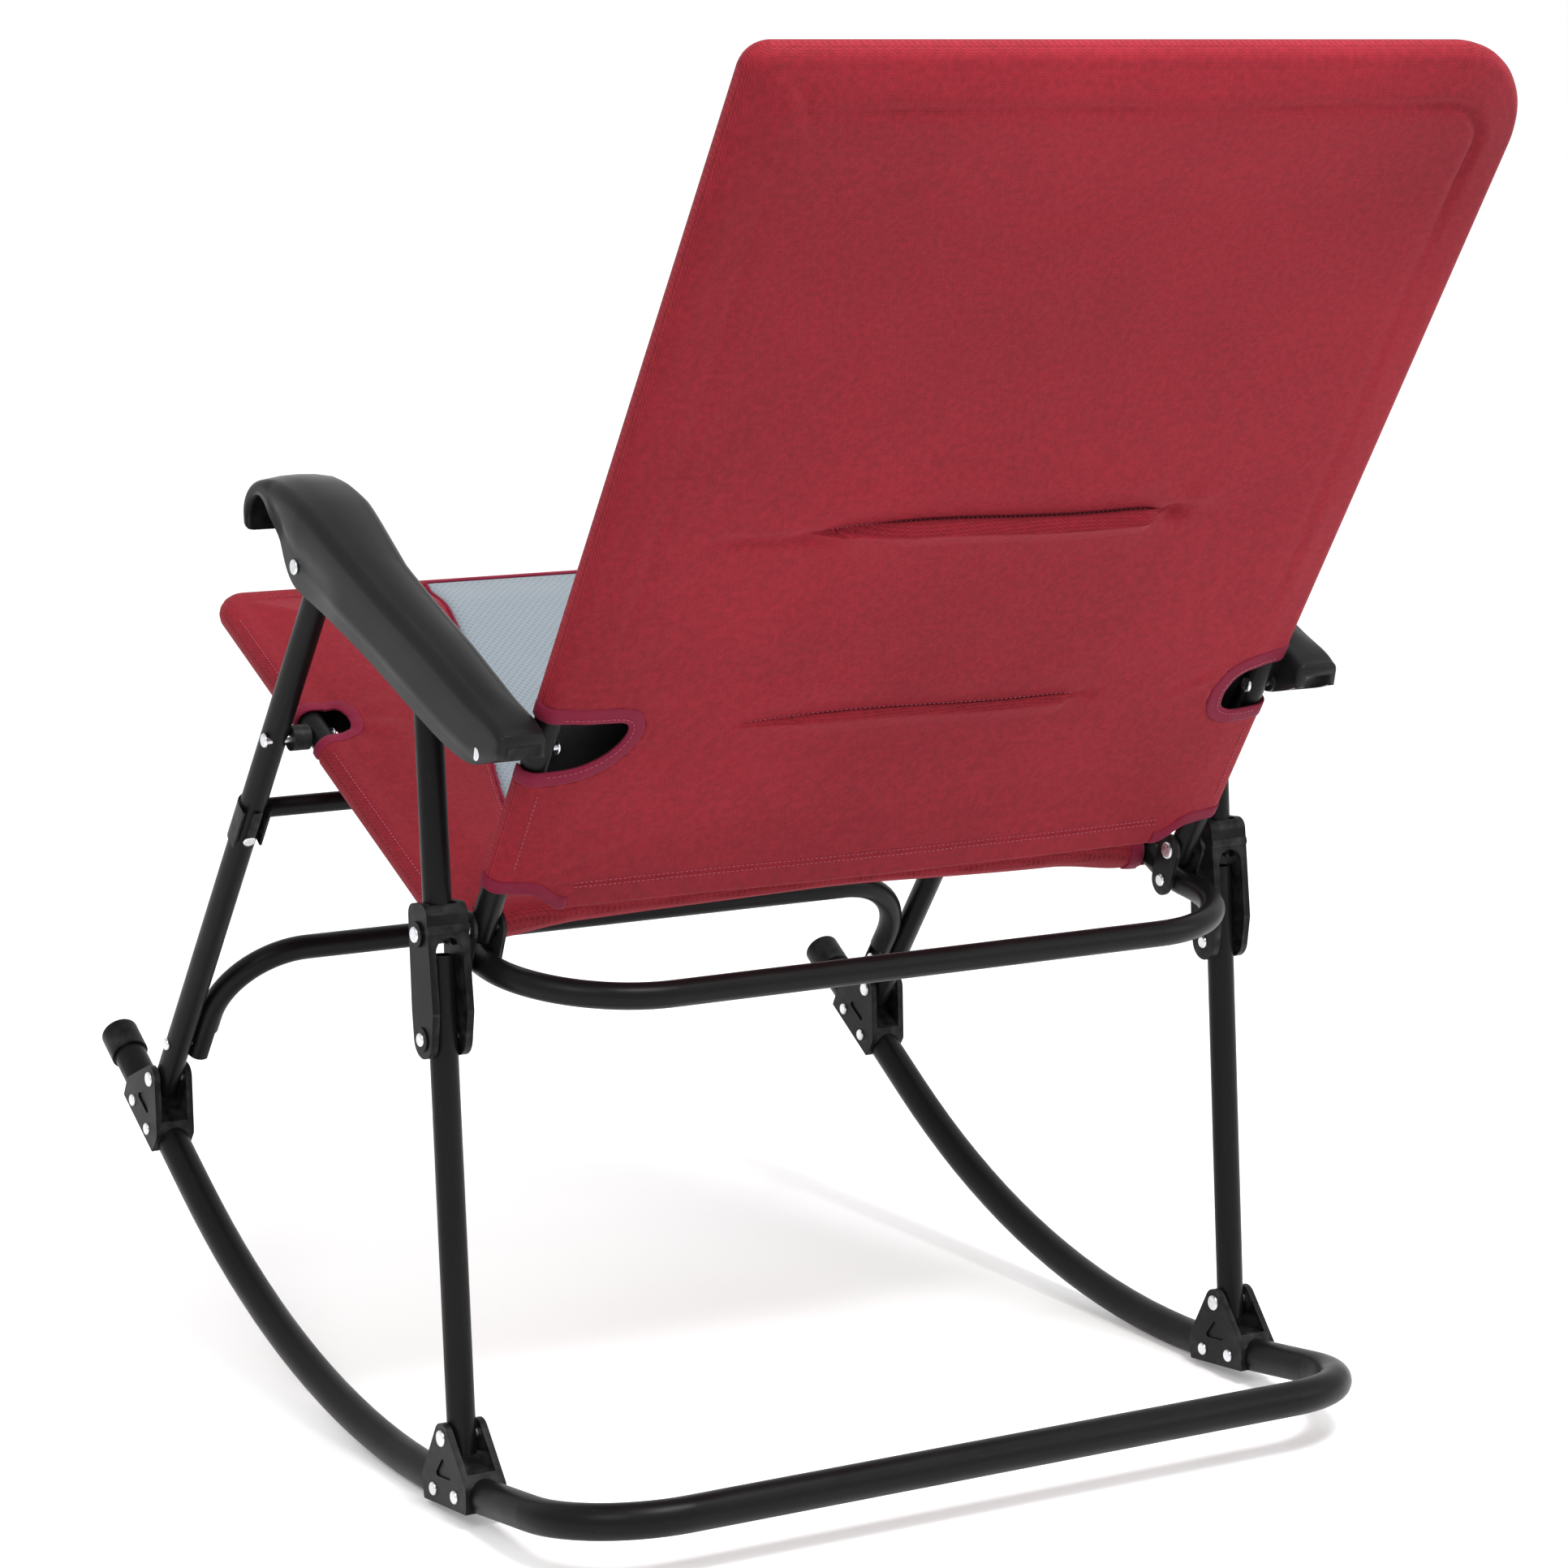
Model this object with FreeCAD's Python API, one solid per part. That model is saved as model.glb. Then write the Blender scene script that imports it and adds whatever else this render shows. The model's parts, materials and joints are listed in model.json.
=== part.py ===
import FreeCAD, Part
import math
import os

# Folding camp rocking chair.  Millimetres.  The chair faces -Y, +Z is up and +X is the sitter's left.
# The origin is the point midway between the two rockers' contact points on the floor.

V = FreeCAD.Vector
os.makedirs("parts", exist_ok=True)

# ---- driving dimensions -------------------------------------------------------------------
LEG_X = 312.0              # centre plane of the rockers, legs and armrests, from the middle
FRAME_X = 280.0            # centre plane of the seat and back frame tubes
ROCKER_TUBE_R = 12.0
LEG_TUBE_R = 9.5
FRAME_TUBE_R = 9.0
CROSS_TUBE_R = 7.0
WALL = 1.4                 # wall of every steel tube

ROCKER_ARC_R = 700.0       # centre line radius of the rocker
ROCKER_FRONT_Y = -360.0    # the arc runs straight from here to the front tip
ROCKER_REAR_Y = 100.0      # and from here to the rear bar
ROCKER_TIP_Y = -501.0
REAR_BAR_Y = 248.0
REAR_CORNER_R = 74.0
CAP_LENGTH = 26.0

BRACKET_RISE = 36.5        # leg pivots above the rocker's centre line
FRONT_BRACKET_Y = -429.0   # foot of the front bracket on the rocker
REAR_BRACKET_Y = 79.0      # foot of the rear bracket on the rocker
BRACKET_HALF = 15.0        # half the width of a bracket across the tube

ARM_FRONT = (-125.5, 604.0)   # A, armrest to front leg (y, z)
SEAT_PIVOT = (-209.0, 471.5)  # D, seat to front leg
MAIN_PIVOT = (41.5, 384.5)    # E, seat, back and rear leg
SEAT_RIVET = (34.0, 361.5)    # second rivet of the hinge plates, through the seat tube

BACK_DEG = 59.0            # slope of the back from the floor
BACK_LENGTH = 665.0        # main pivot to the centre of the back's top tube
BACK_CORNER_R = 58.0
SEAT_LENGTH = 426.0        # seat rivet to the centre of the seat's front tube
SEAT_CORNER_R = 46.0
SEAT_BAR_Y = 140.0         # exposed rear bar of the seat frame
SEAT_BAR_Z = 351.0
KNUCKLE_RIVET_DROP = 69.0  # lower knuckle rivet below the main pivot
REAR_LEG_TOP = 168.0       # top of the upper rear leg above the main pivot

RIVET_R = 2.5
RIVET_HEAD_R = 4.6
RIVET_HEAD_H = 1.8
PIN_R = 4.0
PIN_CLEARANCE = 0.05
COVER_HALF = 291.0         # half width of the seat and back covers
TUBE_GAP = 0.4             # fabric sleeve to frame tube


# ---- geometry helpers ---------------------------------------------------------------------
def yz(point, x=0.0):
    return V(x, point[0], point[1])


def rounded_path(points, radii):
    """Wire through the points with an arc of the given radius at each inner corner."""
    edges = []
    start = points[0]
    for corner, radius, following in zip(points[1:-1], radii, points[2:]):
        into = (corner - start).normalize()
        out = (following - corner).normalize()
        half_turn = into.getAngle(out) / 2.0
        reach = radius * math.tan(half_turn)
        first = corner - into * reach
        last = corner + out * reach
        inward = (out - into).normalize()
        middle = corner + inward * (radius / math.cos(half_turn) - radius)
        edges.append(Part.makeLine(start, first))
        edges.append(Part.Arc(first, middle, last).toShape())
        start = last
    edges.append(Part.makeLine(start, points[-1]))
    return Part.Wire(edges)


def sweep(path, radius):
    edge = path.Edges[0]
    origin = edge.valueAt(edge.FirstParameter)
    direction = edge.tangentAt(edge.FirstParameter)
    profile = Part.Wire([Part.makeCircle(radius, origin, direction)])
    return path.makePipeShell([profile], True, True)


def tube(points, radii, radius, wall=WALL):
    path = rounded_path(points, radii)
    return sweep(path, radius).cut(sweep(path, radius - wall))


def rod(start, end, radius):
    return Part.makeCylinder(radius, (end - start).Length, start, end - start)


def cross_rod(point, x0, x1, radius):
    return rod(yz(point, x0), yz(point, x1), radius)


def rivet(point, x0, x1, radius=RIVET_R, head_radius=RIVET_HEAD_R):
    """Rivet along X with a low domed head outside x0 and outside x1."""
    body = cross_rod(point, x0, x1, radius)
    for x, way in ((x0, -1.0), (x1, 1.0)):
        head = rod(yz(point, x), yz(point, x + way * RIVET_HEAD_H), head_radius)
        rim = [e for e in head.Edges if abs(e.CenterOfMass.x - x - way * RIVET_HEAD_H) < 0.01]
        body = body.fuse(head.makeFillet(RIVET_HEAD_H * 0.8, rim[:1]))
    return body.removeSplitter()


def prism_x(outline, x0, x1):
    """Solid between x0 and x1 with a closed outline of (y, z) points."""
    points = [yz(p, x0) for p in outline]
    face = Part.Face(Part.makePolygon(points + [points[0]]))
    return face.extrude(V(x1 - x0, 0, 0))


def rounded_prism_x(outline, radii, x0, x1):
    """prism_x with each corner of the outline rounded by its own radius."""
    count = len(outline)
    edges = []
    cuts = []
    for i in range(count):
        corner = yz(outline[i], x0)
        before = (corner - yz(outline[i - 1], x0)).normalize()
        after = (yz(outline[(i + 1) % count], x0) - corner).normalize()
        half_turn = before.getAngle(after) / 2.0
        reach = radii[i] * math.tan(half_turn)
        inward = (after - before).normalize()
        middle = corner + inward * (radii[i] / math.cos(half_turn) - radii[i])
        cuts.append((corner - before * reach, middle, corner + after * reach))
    for i in range(count):
        edges.append(Part.Arc(*cuts[i]).toShape())
        edges.append(Part.makeLine(cuts[i][2], cuts[(i + 1) % count][0]))
    return Part.Face(Part.Wire(edges)).extrude(V(x1 - x0, 0, 0))


def hull_of_circles_x(circles, x0, x1):
    """Flat plate along X whose outline wraps circles given as (y, z, radius) in order around."""
    edges = []
    tangents = []
    count = len(circles)
    for i in range(count):
        ya, za, ra = circles[i]
        yb, zb, rb = circles[(i + 1) % count]
        span = math.hypot(yb - ya, zb - za)
        heading = math.atan2(zb - za, yb - ya)
        side = heading - math.acos((ra - rb) / span)
        start = V(x0, ya + ra * math.cos(side), za + ra * math.sin(side))
        end = V(x0, yb + rb * math.cos(side), zb + rb * math.sin(side))
        tangents.append((start, end, side))
    for i in range(count):
        yc, zc, rc = circles[i]
        start, end, side = tangents[i]
        previous_end, previous_side = tangents[i - 1][1], tangents[i - 1][2]
        turn = (side - previous_side) % (2.0 * math.pi)
        middle_angle = previous_side + turn / 2.0
        middle = V(x0, yc + rc * math.cos(middle_angle), zc + rc * math.sin(middle_angle))
        edges.append(Part.Arc(previous_end, middle, start).toShape())
        edges.append(Part.makeLine(start, end))
    return Part.Face(Part.Wire(edges)).extrude(V(x1 - x0, 0, 0))


def placed(shape, lean_deg, point, x=0.0):
    """Turn a shape built about the origin by lean_deg about X, then move it to (y, z) and x."""
    copy = shape.copy()
    copy.rotate(V(0, 0, 0), V(1, 0, 0), lean_deg)
    copy.translate(yz(point, x))
    return copy


def mirrored(shape):
    return shape.mirror(V(0, 0, 0), V(1, 0, 0))


def heading_deg(start, end):
    return math.degrees(math.atan2(end[1] - start[1], end[0] - start[0]))


def along(start, angle_deg, length):
    angle = math.radians(angle_deg)
    return (start[0] + length * math.cos(angle), start[1] + length * math.sin(angle))


def save(name, shape):
    shape.exportStep(os.path.join("parts", name + ".step"))


def save_pair(name, left_shape):
    save(name + "_left", left_shape)
    save(name + "_right", mirrored(left_shape))


def save_both(name, left_shapes):
    """One node that holds the same small pieces on both sides as separate solids."""
    solids = list(left_shapes) + [mirrored(s) for s in left_shapes]
    save(name, Part.makeCompound(solids))


# ---- places that follow from the driving dimensions ---------------------------------------
# Armrest, front leg, seat and back post are a parallelogram, so the armrest stays parallel
# to the line from the seat pivot to the main pivot.
ARM_REAR = (ARM_FRONT[0] + MAIN_PIVOT[0] - SEAT_PIVOT[0],
            ARM_FRONT[1] + MAIN_PIVOT[1] - SEAT_PIVOT[1])   # C, armrest to back post
ARC_CENTRE_Z = ROCKER_ARC_R + ROCKER_TUBE_R
FRONT_TURN = math.asin(-ROCKER_FRONT_Y / ROCKER_ARC_R)
REAR_TURN = math.asin(ROCKER_REAR_Y / ROCKER_ARC_R)


def arc_z(y):
    return ARC_CENTRE_Z - math.sqrt(ROCKER_ARC_R ** 2 - y ** 2)


def rocker_point(y):
    """Centre line of a rocker as (y, z)."""
    if y < ROCKER_FRONT_Y:
        return (y, arc_z(ROCKER_FRONT_Y) + (ROCKER_FRONT_Y - y) * math.tan(FRONT_TURN))
    if y > ROCKER_REAR_Y:
        return (y, arc_z(ROCKER_REAR_Y) + (y - ROCKER_REAR_Y) * math.tan(REAR_TURN))
    return (y, arc_z(y))


def rocker_slope_deg(y):
    clamped = max(ROCKER_FRONT_Y, min(ROCKER_REAR_Y, y))
    return math.degrees(math.asin(clamped / ROCKER_ARC_R))


def above_rocker(y, rise):
    return along(rocker_point(y), rocker_slope_deg(y) + 90.0, rise)


FRONT_PIVOT = above_rocker(FRONT_BRACKET_Y, BRACKET_RISE)   # G
REAR_PIVOT = above_rocker(REAR_BRACKET_Y, BRACKET_RISE)     # H
FRONT_LEG_DEG = heading_deg(FRONT_PIVOT, ARM_FRONT)
REAR_LEG_DEG = heading_deg(REAR_PIVOT, MAIN_PIVOT)
SEAT_DEG = heading_deg(SEAT_RIVET, SEAT_PIVOT)


# ---- rocker base --------------------------------------------------------------------------
def rocker_corner():
    """Where the rocker's two straight ends would meet below its arc."""
    middle_angle = (REAR_TURN - FRONT_TURN) / 2.0
    reach = ROCKER_ARC_R / math.cos((REAR_TURN + FRONT_TURN) / 2.0)
    return (reach * math.sin(middle_angle), ARC_CENTRE_Z - reach * math.cos(middle_angle))


def rocker_path():
    tip = rocker_point(ROCKER_TIP_Y)
    bar = rocker_point(REAR_BAR_Y)
    corner = rocker_corner()
    points = [yz(tip, -LEG_X), yz(corner, -LEG_X), yz(bar, -LEG_X),
              yz(bar, LEG_X), yz(corner, LEG_X), yz(tip, LEG_X)]
    radii = [ROCKER_ARC_R, REAR_CORNER_R, REAR_CORNER_R, ROCKER_ARC_R]
    return rounded_path(points, radii)


def end_cap():
    """Plastic cap over the rocker's front tip, built along +Z from the tube's end face."""
    cap = Part.makeCylinder(ROCKER_TUBE_R + 2.0, CAP_LENGTH, V(0, 0, 5.0 - CAP_LENGTH))
    top = [e for e in cap.Edges if abs(e.CenterOfMass.z - 5.0) < 0.01][:1]
    cap = cap.makeFillet(3.0, top)
    return cap.cut(Part.makeCylinder(ROCKER_TUBE_R, CAP_LENGTH, V(0, 0, -CAP_LENGTH)))


BRACKET_LENGTH = 64.0
EAR_INNER = 10.3           # ears clear the leg tube by 0.8 mm
EAR_TOP_R = 10.0
BRACKET_RIVET_STEP = 15.5


def bracket(tube_solid):
    """Saddle with two triangular ears, built about its pivot with the rocker along Y below it."""
    foot = -BRACKET_RISE
    half = BRACKET_LENGTH / 2.0
    ear = [(0.0, 0.0, EAR_TOP_R), (-half + 6.0, foot + 6.0, 6.0), (-half + 6.0, foot - 7.0, 5.0),
           (half - 6.0, foot - 7.0, 5.0), (half - 6.0, foot + 6.0, 6.0)]
    ears = hull_of_circles_x(ear, -BRACKET_HALF, BRACKET_HALF)
    slot = Part.makeBox(2 * EAR_INNER, 90.0, 60.0, V(-EAR_INNER, -45.0, foot + ROCKER_TUBE_R + 4.0))
    body = ears.cut(slot)
    pocket = rounded_prism_x([(0.0, -13.0), (-13.0, foot + 10.0), (13.0, foot + 10.0)],
                             [2.0, 2.0, 2.0], BRACKET_HALF - 1.3, BRACKET_HALF + 1.0)
    body = body.cut(pocket).cut(mirrored(pocket))
    body = body.cut(tube_solid)
    keep_below = Part.makeBox(60.0, 90.0, 40.0, V(-30.0, -45.0, foot - 9.0 - 40.0))
    return body.cut(keep_below)


def make_rocker_base():
    path = rocker_path()
    solid = sweep(path, ROCKER_TUBE_R)
    hollow = sweep(path, ROCKER_TUBE_R - WALL)
    rocker = solid.cut(hollow)
    tip = rocker_point(ROCKER_TIP_Y)
    cap = placed(end_cap(), 90.0 + rocker_slope_deg(ROCKER_TIP_Y), tip, LEG_X)
    front = (FRONT_BRACKET_Y, FRONT_PIVOT, "front")
    rear = (REAR_BRACKET_Y, REAR_PIVOT, "rear")
    save_pair("rocker_cap", cap)
    for foot_y, pivot, name in (front, rear):
        slope = rocker_slope_deg(foot_y)
        local_tube = solid.copy()
        local_tube.translate(yz((-pivot[0], -pivot[1]), -LEG_X))
        local_tube.rotate(V(0, 0, 0), V(1, 0, 0), -slope)
        body = placed(bracket(local_tube), slope, pivot, LEG_X)
        rivets = []
        for step in (-BRACKET_RIVET_STEP, BRACKET_RIVET_STEP):
            y = foot_y + step * math.cos(math.radians(slope))
            piece = rivet(rocker_point(y), LEG_X - BRACKET_HALF, LEG_X + BRACKET_HALF)
            rivets.append(piece)
        pin = rivet(pivot, LEG_X - BRACKET_HALF, LEG_X + BRACKET_HALF, PIN_R, PIN_R + 1.6)
        for piece in rivets + [pin]:
            body = body.cut(piece)
        for piece in rivets:
            rocker = rocker.cut(piece).cut(mirrored(piece))
        save_pair(name + "_bracket", body)
        save_both(name + "_bracket_rivets", rivets)
        save_both(name + "_pivot_pins", [pin])
    save("rocker_tube", rocker)


# ---- front legs ---------------------------------------------------------------------------
FRONT_LEG_BELOW = 12.0
FRONT_LEG_ABOVE = 8.0
CROSS_AT = 278.0           # cross tube, along the leg from the front pivot
CROSS_RIVET_AT = 256.0
BRACE_RIVET_AT = 37.0
BRACE_AT = 127.0
BRACE_CORNER_R = 62.0
BRACE_X = LEG_X - LEG_TUBE_R - FRAME_TUBE_R - 0.1


def leg_point(distance):
    return along(FRONT_PIVOT, FRONT_LEG_DEG, distance)


def saddle_clip():
    """Sheet clip around the front of a leg, built on a vertical leg with its rear toward +Y."""
    height = 34.0
    outer = Part.makeCylinder(LEG_TUBE_R + 1.6, height, V(0, 0, -height / 2.0))
    arms = Part.makeBox(2 * (LEG_TUBE_R + 1.6), LEG_TUBE_R, height,
                        V(-LEG_TUBE_R - 1.6, 0, -height / 2.0))
    inner = Part.makeCylinder(LEG_TUBE_R, height, V(0, 0, -height / 2.0))
    gap = Part.makeBox(2 * LEG_TUBE_R, LEG_TUBE_R + 1.0, height, V(-LEG_TUBE_R, 0, -height / 2.0))
    return outer.fuse(arms).cut(inner).cut(gap)


def make_front_legs():
    lean = FRONT_LEG_DEG - 90.0
    span = math.dist(FRONT_PIVOT, ARM_FRONT)
    leg = tube([yz(leg_point(-FRONT_LEG_BELOW), LEG_X), yz(leg_point(span + FRONT_LEG_ABOVE), LEG_X)],
               [], LEG_TUBE_R)
    pin_hole = PIN_R + PIN_CLEARANCE
    leg = leg.cut(cross_rod(FRONT_PIVOT, LEG_X - 20, LEG_X + 20, pin_hole))

    arm_rivet = rivet(ARM_FRONT, LEG_X - ARM_SKIRT_IN, LEG_X + ARM_SKIRT_OUT, RIVET_R, 5.4)
    seat_pin = rivet(SEAT_PIVOT, FRAME_X - FRAME_TUBE_R - 0.5, LEG_X + LEG_TUBE_R, PIN_R - 1.0, 5.0)
    spacer_end = FRAME_X + FRAME_TUBE_R + 0.4
    spacer = cross_rod(SEAT_PIVOT, spacer_end, LEG_X - LEG_TUBE_R - 0.02, 9.0).cut(seat_pin)
    brace_end = leg_point(BRACE_RIVET_AT)
    brace_rivet = rivet(brace_end, BRACE_X - 4.0, LEG_X + LEG_TUBE_R)
    cross_point = leg_point(CROSS_AT)
    cross_rivet = rivet((0, 0), -LEG_TUBE_R - 1.6, LEG_TUBE_R)
    cross_rivet.rotate(V(0, 0, 0), V(0, 0, 1), 90.0)
    cross_rivet = placed(cross_rivet, lean, leg_point(CROSS_RIVET_AT), LEG_X)
    clip = placed(saddle_clip(), lean, leg_point((CROSS_AT + CROSS_RIVET_AT) / 2.0), LEG_X)
    clip = clip.cut(cross_rivet)
    cross_x = LEG_X - LEG_TUBE_R - 1.65
    cross = tube([yz(cross_point, -cross_x), yz(cross_point, cross_x)], [], CROSS_TUBE_R)

    brace_low = leg_point(BRACE_RIVET_AT - 12.0)
    brace_top = leg_point(BRACE_AT)
    brace = tube([yz(brace_low, -BRACE_X), yz(brace_top, -BRACE_X),
                  yz(brace_top, BRACE_X), yz(brace_low, BRACE_X)],
                 [BRACE_CORNER_R, BRACE_CORNER_R], FRAME_TUBE_R)
    flat = placed(Part.makeBox(6.0, 40.0, 30.0, V(-13.0, -20.0, -15.0)), lean, brace_end, BRACE_X + 3.0)
    brace = brace.cut(flat).cut(mirrored(flat))
    brace = brace.cut(brace_rivet).cut(mirrored(brace_rivet))
    for piece in (arm_rivet, seat_pin, brace_rivet, cross_rivet):
        leg = leg.cut(piece)
    save_pair("front_leg", leg)
    save("front_cross_tube", cross)
    save_pair("cross_tube_clip", clip)
    save("lower_brace", brace)
    save_both("seat_pivot_spacers", [spacer])
    save_both("seat_pivot_pins", [seat_pin])
    save_both("armrest_front_rivets", [arm_rivet])
    save_both("brace_rivets", [brace_rivet])
    save_both("cross_tube_rivets", [cross_rivet])


# ---- rear legs and knuckles ---------------------------------------------------------------
KNUCKLE_HALF = 15.0
KNUCKLE_TOP = 20.0
KNUCKLE_REAR = 14.0


def rear_leg_point(distance):
    return along(MAIN_PIVOT, REAR_LEG_DEG, distance)


def knuckle():
    """Plastic joint built about the main pivot, leg along Z and the chair's rear toward +Y."""
    outline = [(0.0, -KNUCKLE_RIVET_DROP, 13.0), (9.0, -KNUCKLE_RIVET_DROP + 18.0, 8.0),
               (6.0, KNUCKLE_TOP - 8.0, 8.0), (-5.0, KNUCKLE_TOP - 8.0, 8.0),
               (-4.0, -KNUCKLE_RIVET_DROP + 18.0, 10.0)]
    body = hull_of_circles_x(outline, -KNUCKLE_HALF, KNUCKLE_HALF)
    clear = LEG_TUBE_R + 0.3
    channel = Part.makeBox(2 * clear, 60.0, 200.0, V(-clear, -60.0 + clear, -100.0))
    arch = Part.makeCylinder(clear, 80.0, V(0, -40.0, -12.0), V(0, 1, 0))
    arch = arch.fuse(Part.makeBox(2 * clear, 80.0, 100.0, V(-clear, -40.0, -112.0)))
    ridge = rod(V(-KNUCKLE_HALF, 10.5, 3.0), V(KNUCKLE_HALF, 10.5, 3.0), 5.0)
    bosses = cross_rod((0.0, 0.0), KNUCKLE_HALF - 1.0, KNUCKLE_HALF + 2.0, 8.5)
    bosses = bosses.fuse(cross_rod((0.0, -KNUCKLE_RIVET_DROP), KNUCKLE_HALF - 1.0,
                                   KNUCKLE_HALF + 1.2, 8.0))
    return body.fuse(ridge).fuse(bosses).cut(channel).cut(arch).removeSplitter()


def make_rear_legs():
    lean = REAR_LEG_DEG - 90.0
    low_rivet_point = rear_leg_point(-KNUCKLE_RIVET_DROP)
    body = placed(knuckle(), lean, MAIN_PIVOT, LEG_X)
    low_rivet = rivet(low_rivet_point, LEG_X - KNUCKLE_HALF, LEG_X + KNUCKLE_HALF + 1.2)
    pin = rivet(MAIN_PIVOT, LEG_X - KNUCKLE_HALF, LEG_X + KNUCKLE_HALF + 2.0, PIN_R - 0.5, 5.4)
    low_end = math.dist(REAR_PIVOT, MAIN_PIVOT) + 12.0
    lower = tube([yz(rear_leg_point(-low_end), LEG_X), yz(rear_leg_point(-15.0), LEG_X)], [], LEG_TUBE_R)
    lower = lower.cut(cross_rod(REAR_PIVOT, LEG_X - 20, LEG_X + 20, PIN_R + PIN_CLEARANCE))
    lower = lower.cut(low_rivet)
    upper = tube([yz((0.0, -LEG_TUBE_R)), yz((0.0, REAR_LEG_TOP))], [], LEG_TUBE_R)
    end = 2.0 * LEG_TUBE_R
    below = Part.makeBox(2.0 * end, 2.0 * end, end, V(-end, -end, -end))
    upper = upper.cut(below.cut(cross_rod((0.0, 0.0), -end, end, LEG_TUBE_R)))
    upper = placed(upper, lean, MAIN_PIVOT, LEG_X)
    upper = upper.cut(cross_rod(MAIN_PIVOT, LEG_X - 20, LEG_X + 20, PIN_R - 0.5 + PIN_CLEARANCE))
    plug_top = REAR_LEG_TOP + 2.0
    plug = rod(yz(rear_leg_point(REAR_LEG_TOP - 12.0), LEG_X),
               yz(rear_leg_point(REAR_LEG_TOP), LEG_X), LEG_TUBE_R - WALL)
    plug = plug.fuse(rod(yz(rear_leg_point(REAR_LEG_TOP), LEG_X),
                         yz(rear_leg_point(plug_top), LEG_X), LEG_TUBE_R))
    body = body.cut(low_rivet).cut(pin)
    save_pair("rear_leg_lower", lower)
    save_pair("rear_leg_upper", upper)
    save_pair("rear_leg_plug", plug.removeSplitter())
    save_pair("knuckle", body)
    save_pair("knuckle_rivet", low_rivet)
    save_pair("knuckle_pin", pin)


# ---- seat ---------------------------------------------------------------------------------
PLATE = 2.5
PLATE_GAP = FRAME_TUBE_R + 0.3
SEAT_BACK_R = 88.0
SEAT_BEND_R = 70.0
SEAT_TOP = 20.0            # top of the padded seat above the frame's centre plane
SEAT_UNDER = 11.0
SEAT_REAR_EDGE = 33.0      # rear edge of the seat cover, along the seat from the seat rivet
NOTCH_HALF = 24.0
NOTCH_DEPTH = 26.0
MESH_INSET = 2.6
PANEL_FRONT_X = 150.0
PANEL_REAR_X = 205.0


def seat_point(distance, rise=0.0):
    base = along(SEAT_RIVET, SEAT_DEG, distance)
    return along(base, SEAT_DEG - 90.0, rise)


def seat_frame_path():
    front = seat_point(SEAT_LENGTH)
    bend = SEAT_RIVET
    rear = (SEAT_BAR_Y, SEAT_BAR_Z)
    points = [yz(front, 0.0), yz(front, FRAME_X), yz(bend, FRAME_X), yz(rear, FRAME_X), yz(rear, 0.0)]
    return rounded_path(points, [SEAT_CORNER_R, SEAT_BEND_R, SEAT_BACK_R])


def seat_slab(front, rear, half, top, under, corner):
    """Flat slab in the seat's plane with rounded front corners."""
    length = front - rear
    slab = Part.makeBox(2 * half, length, top + under, V(-half, 0, -under))
    upright = [e for e in slab.Edges
               if abs(e.Vertexes[0].Point.z - e.Vertexes[-1].Point.z) > 1.0 and e.CenterOfMass.y < 0.01]
    slab = slab.makeFillet(corner, upright)
    slab.translate(V(0, -front, 0))
    return placed(slab, SEAT_DEG - 180.0, SEAT_RIVET)


def cheek_slab(half, length, start, thickness, offset):
    """Prism in the seat or back plane, bounded by a smooth waist between two widths."""
    front_half, rear_half = half
    edges = []
    left = [V(front_half, -start - length, offset), V((front_half + rear_half) / 2.0 - 12.0,
            -start - length / 2.0, offset), V(rear_half, -start, offset)]
    right = [V(-p.x, p.y, p.z) for p in reversed(left)]
    edges.append(Part.Arc(*left).toShape())
    edges.append(Part.makeLine(left[-1], right[0]))
    edges.append(Part.Arc(*right).toShape())
    edges.append(Part.makeLine(right[-1], left[0]))
    return Part.Face(Part.Wire(edges)).extrude(V(0, 0, thickness))


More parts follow.
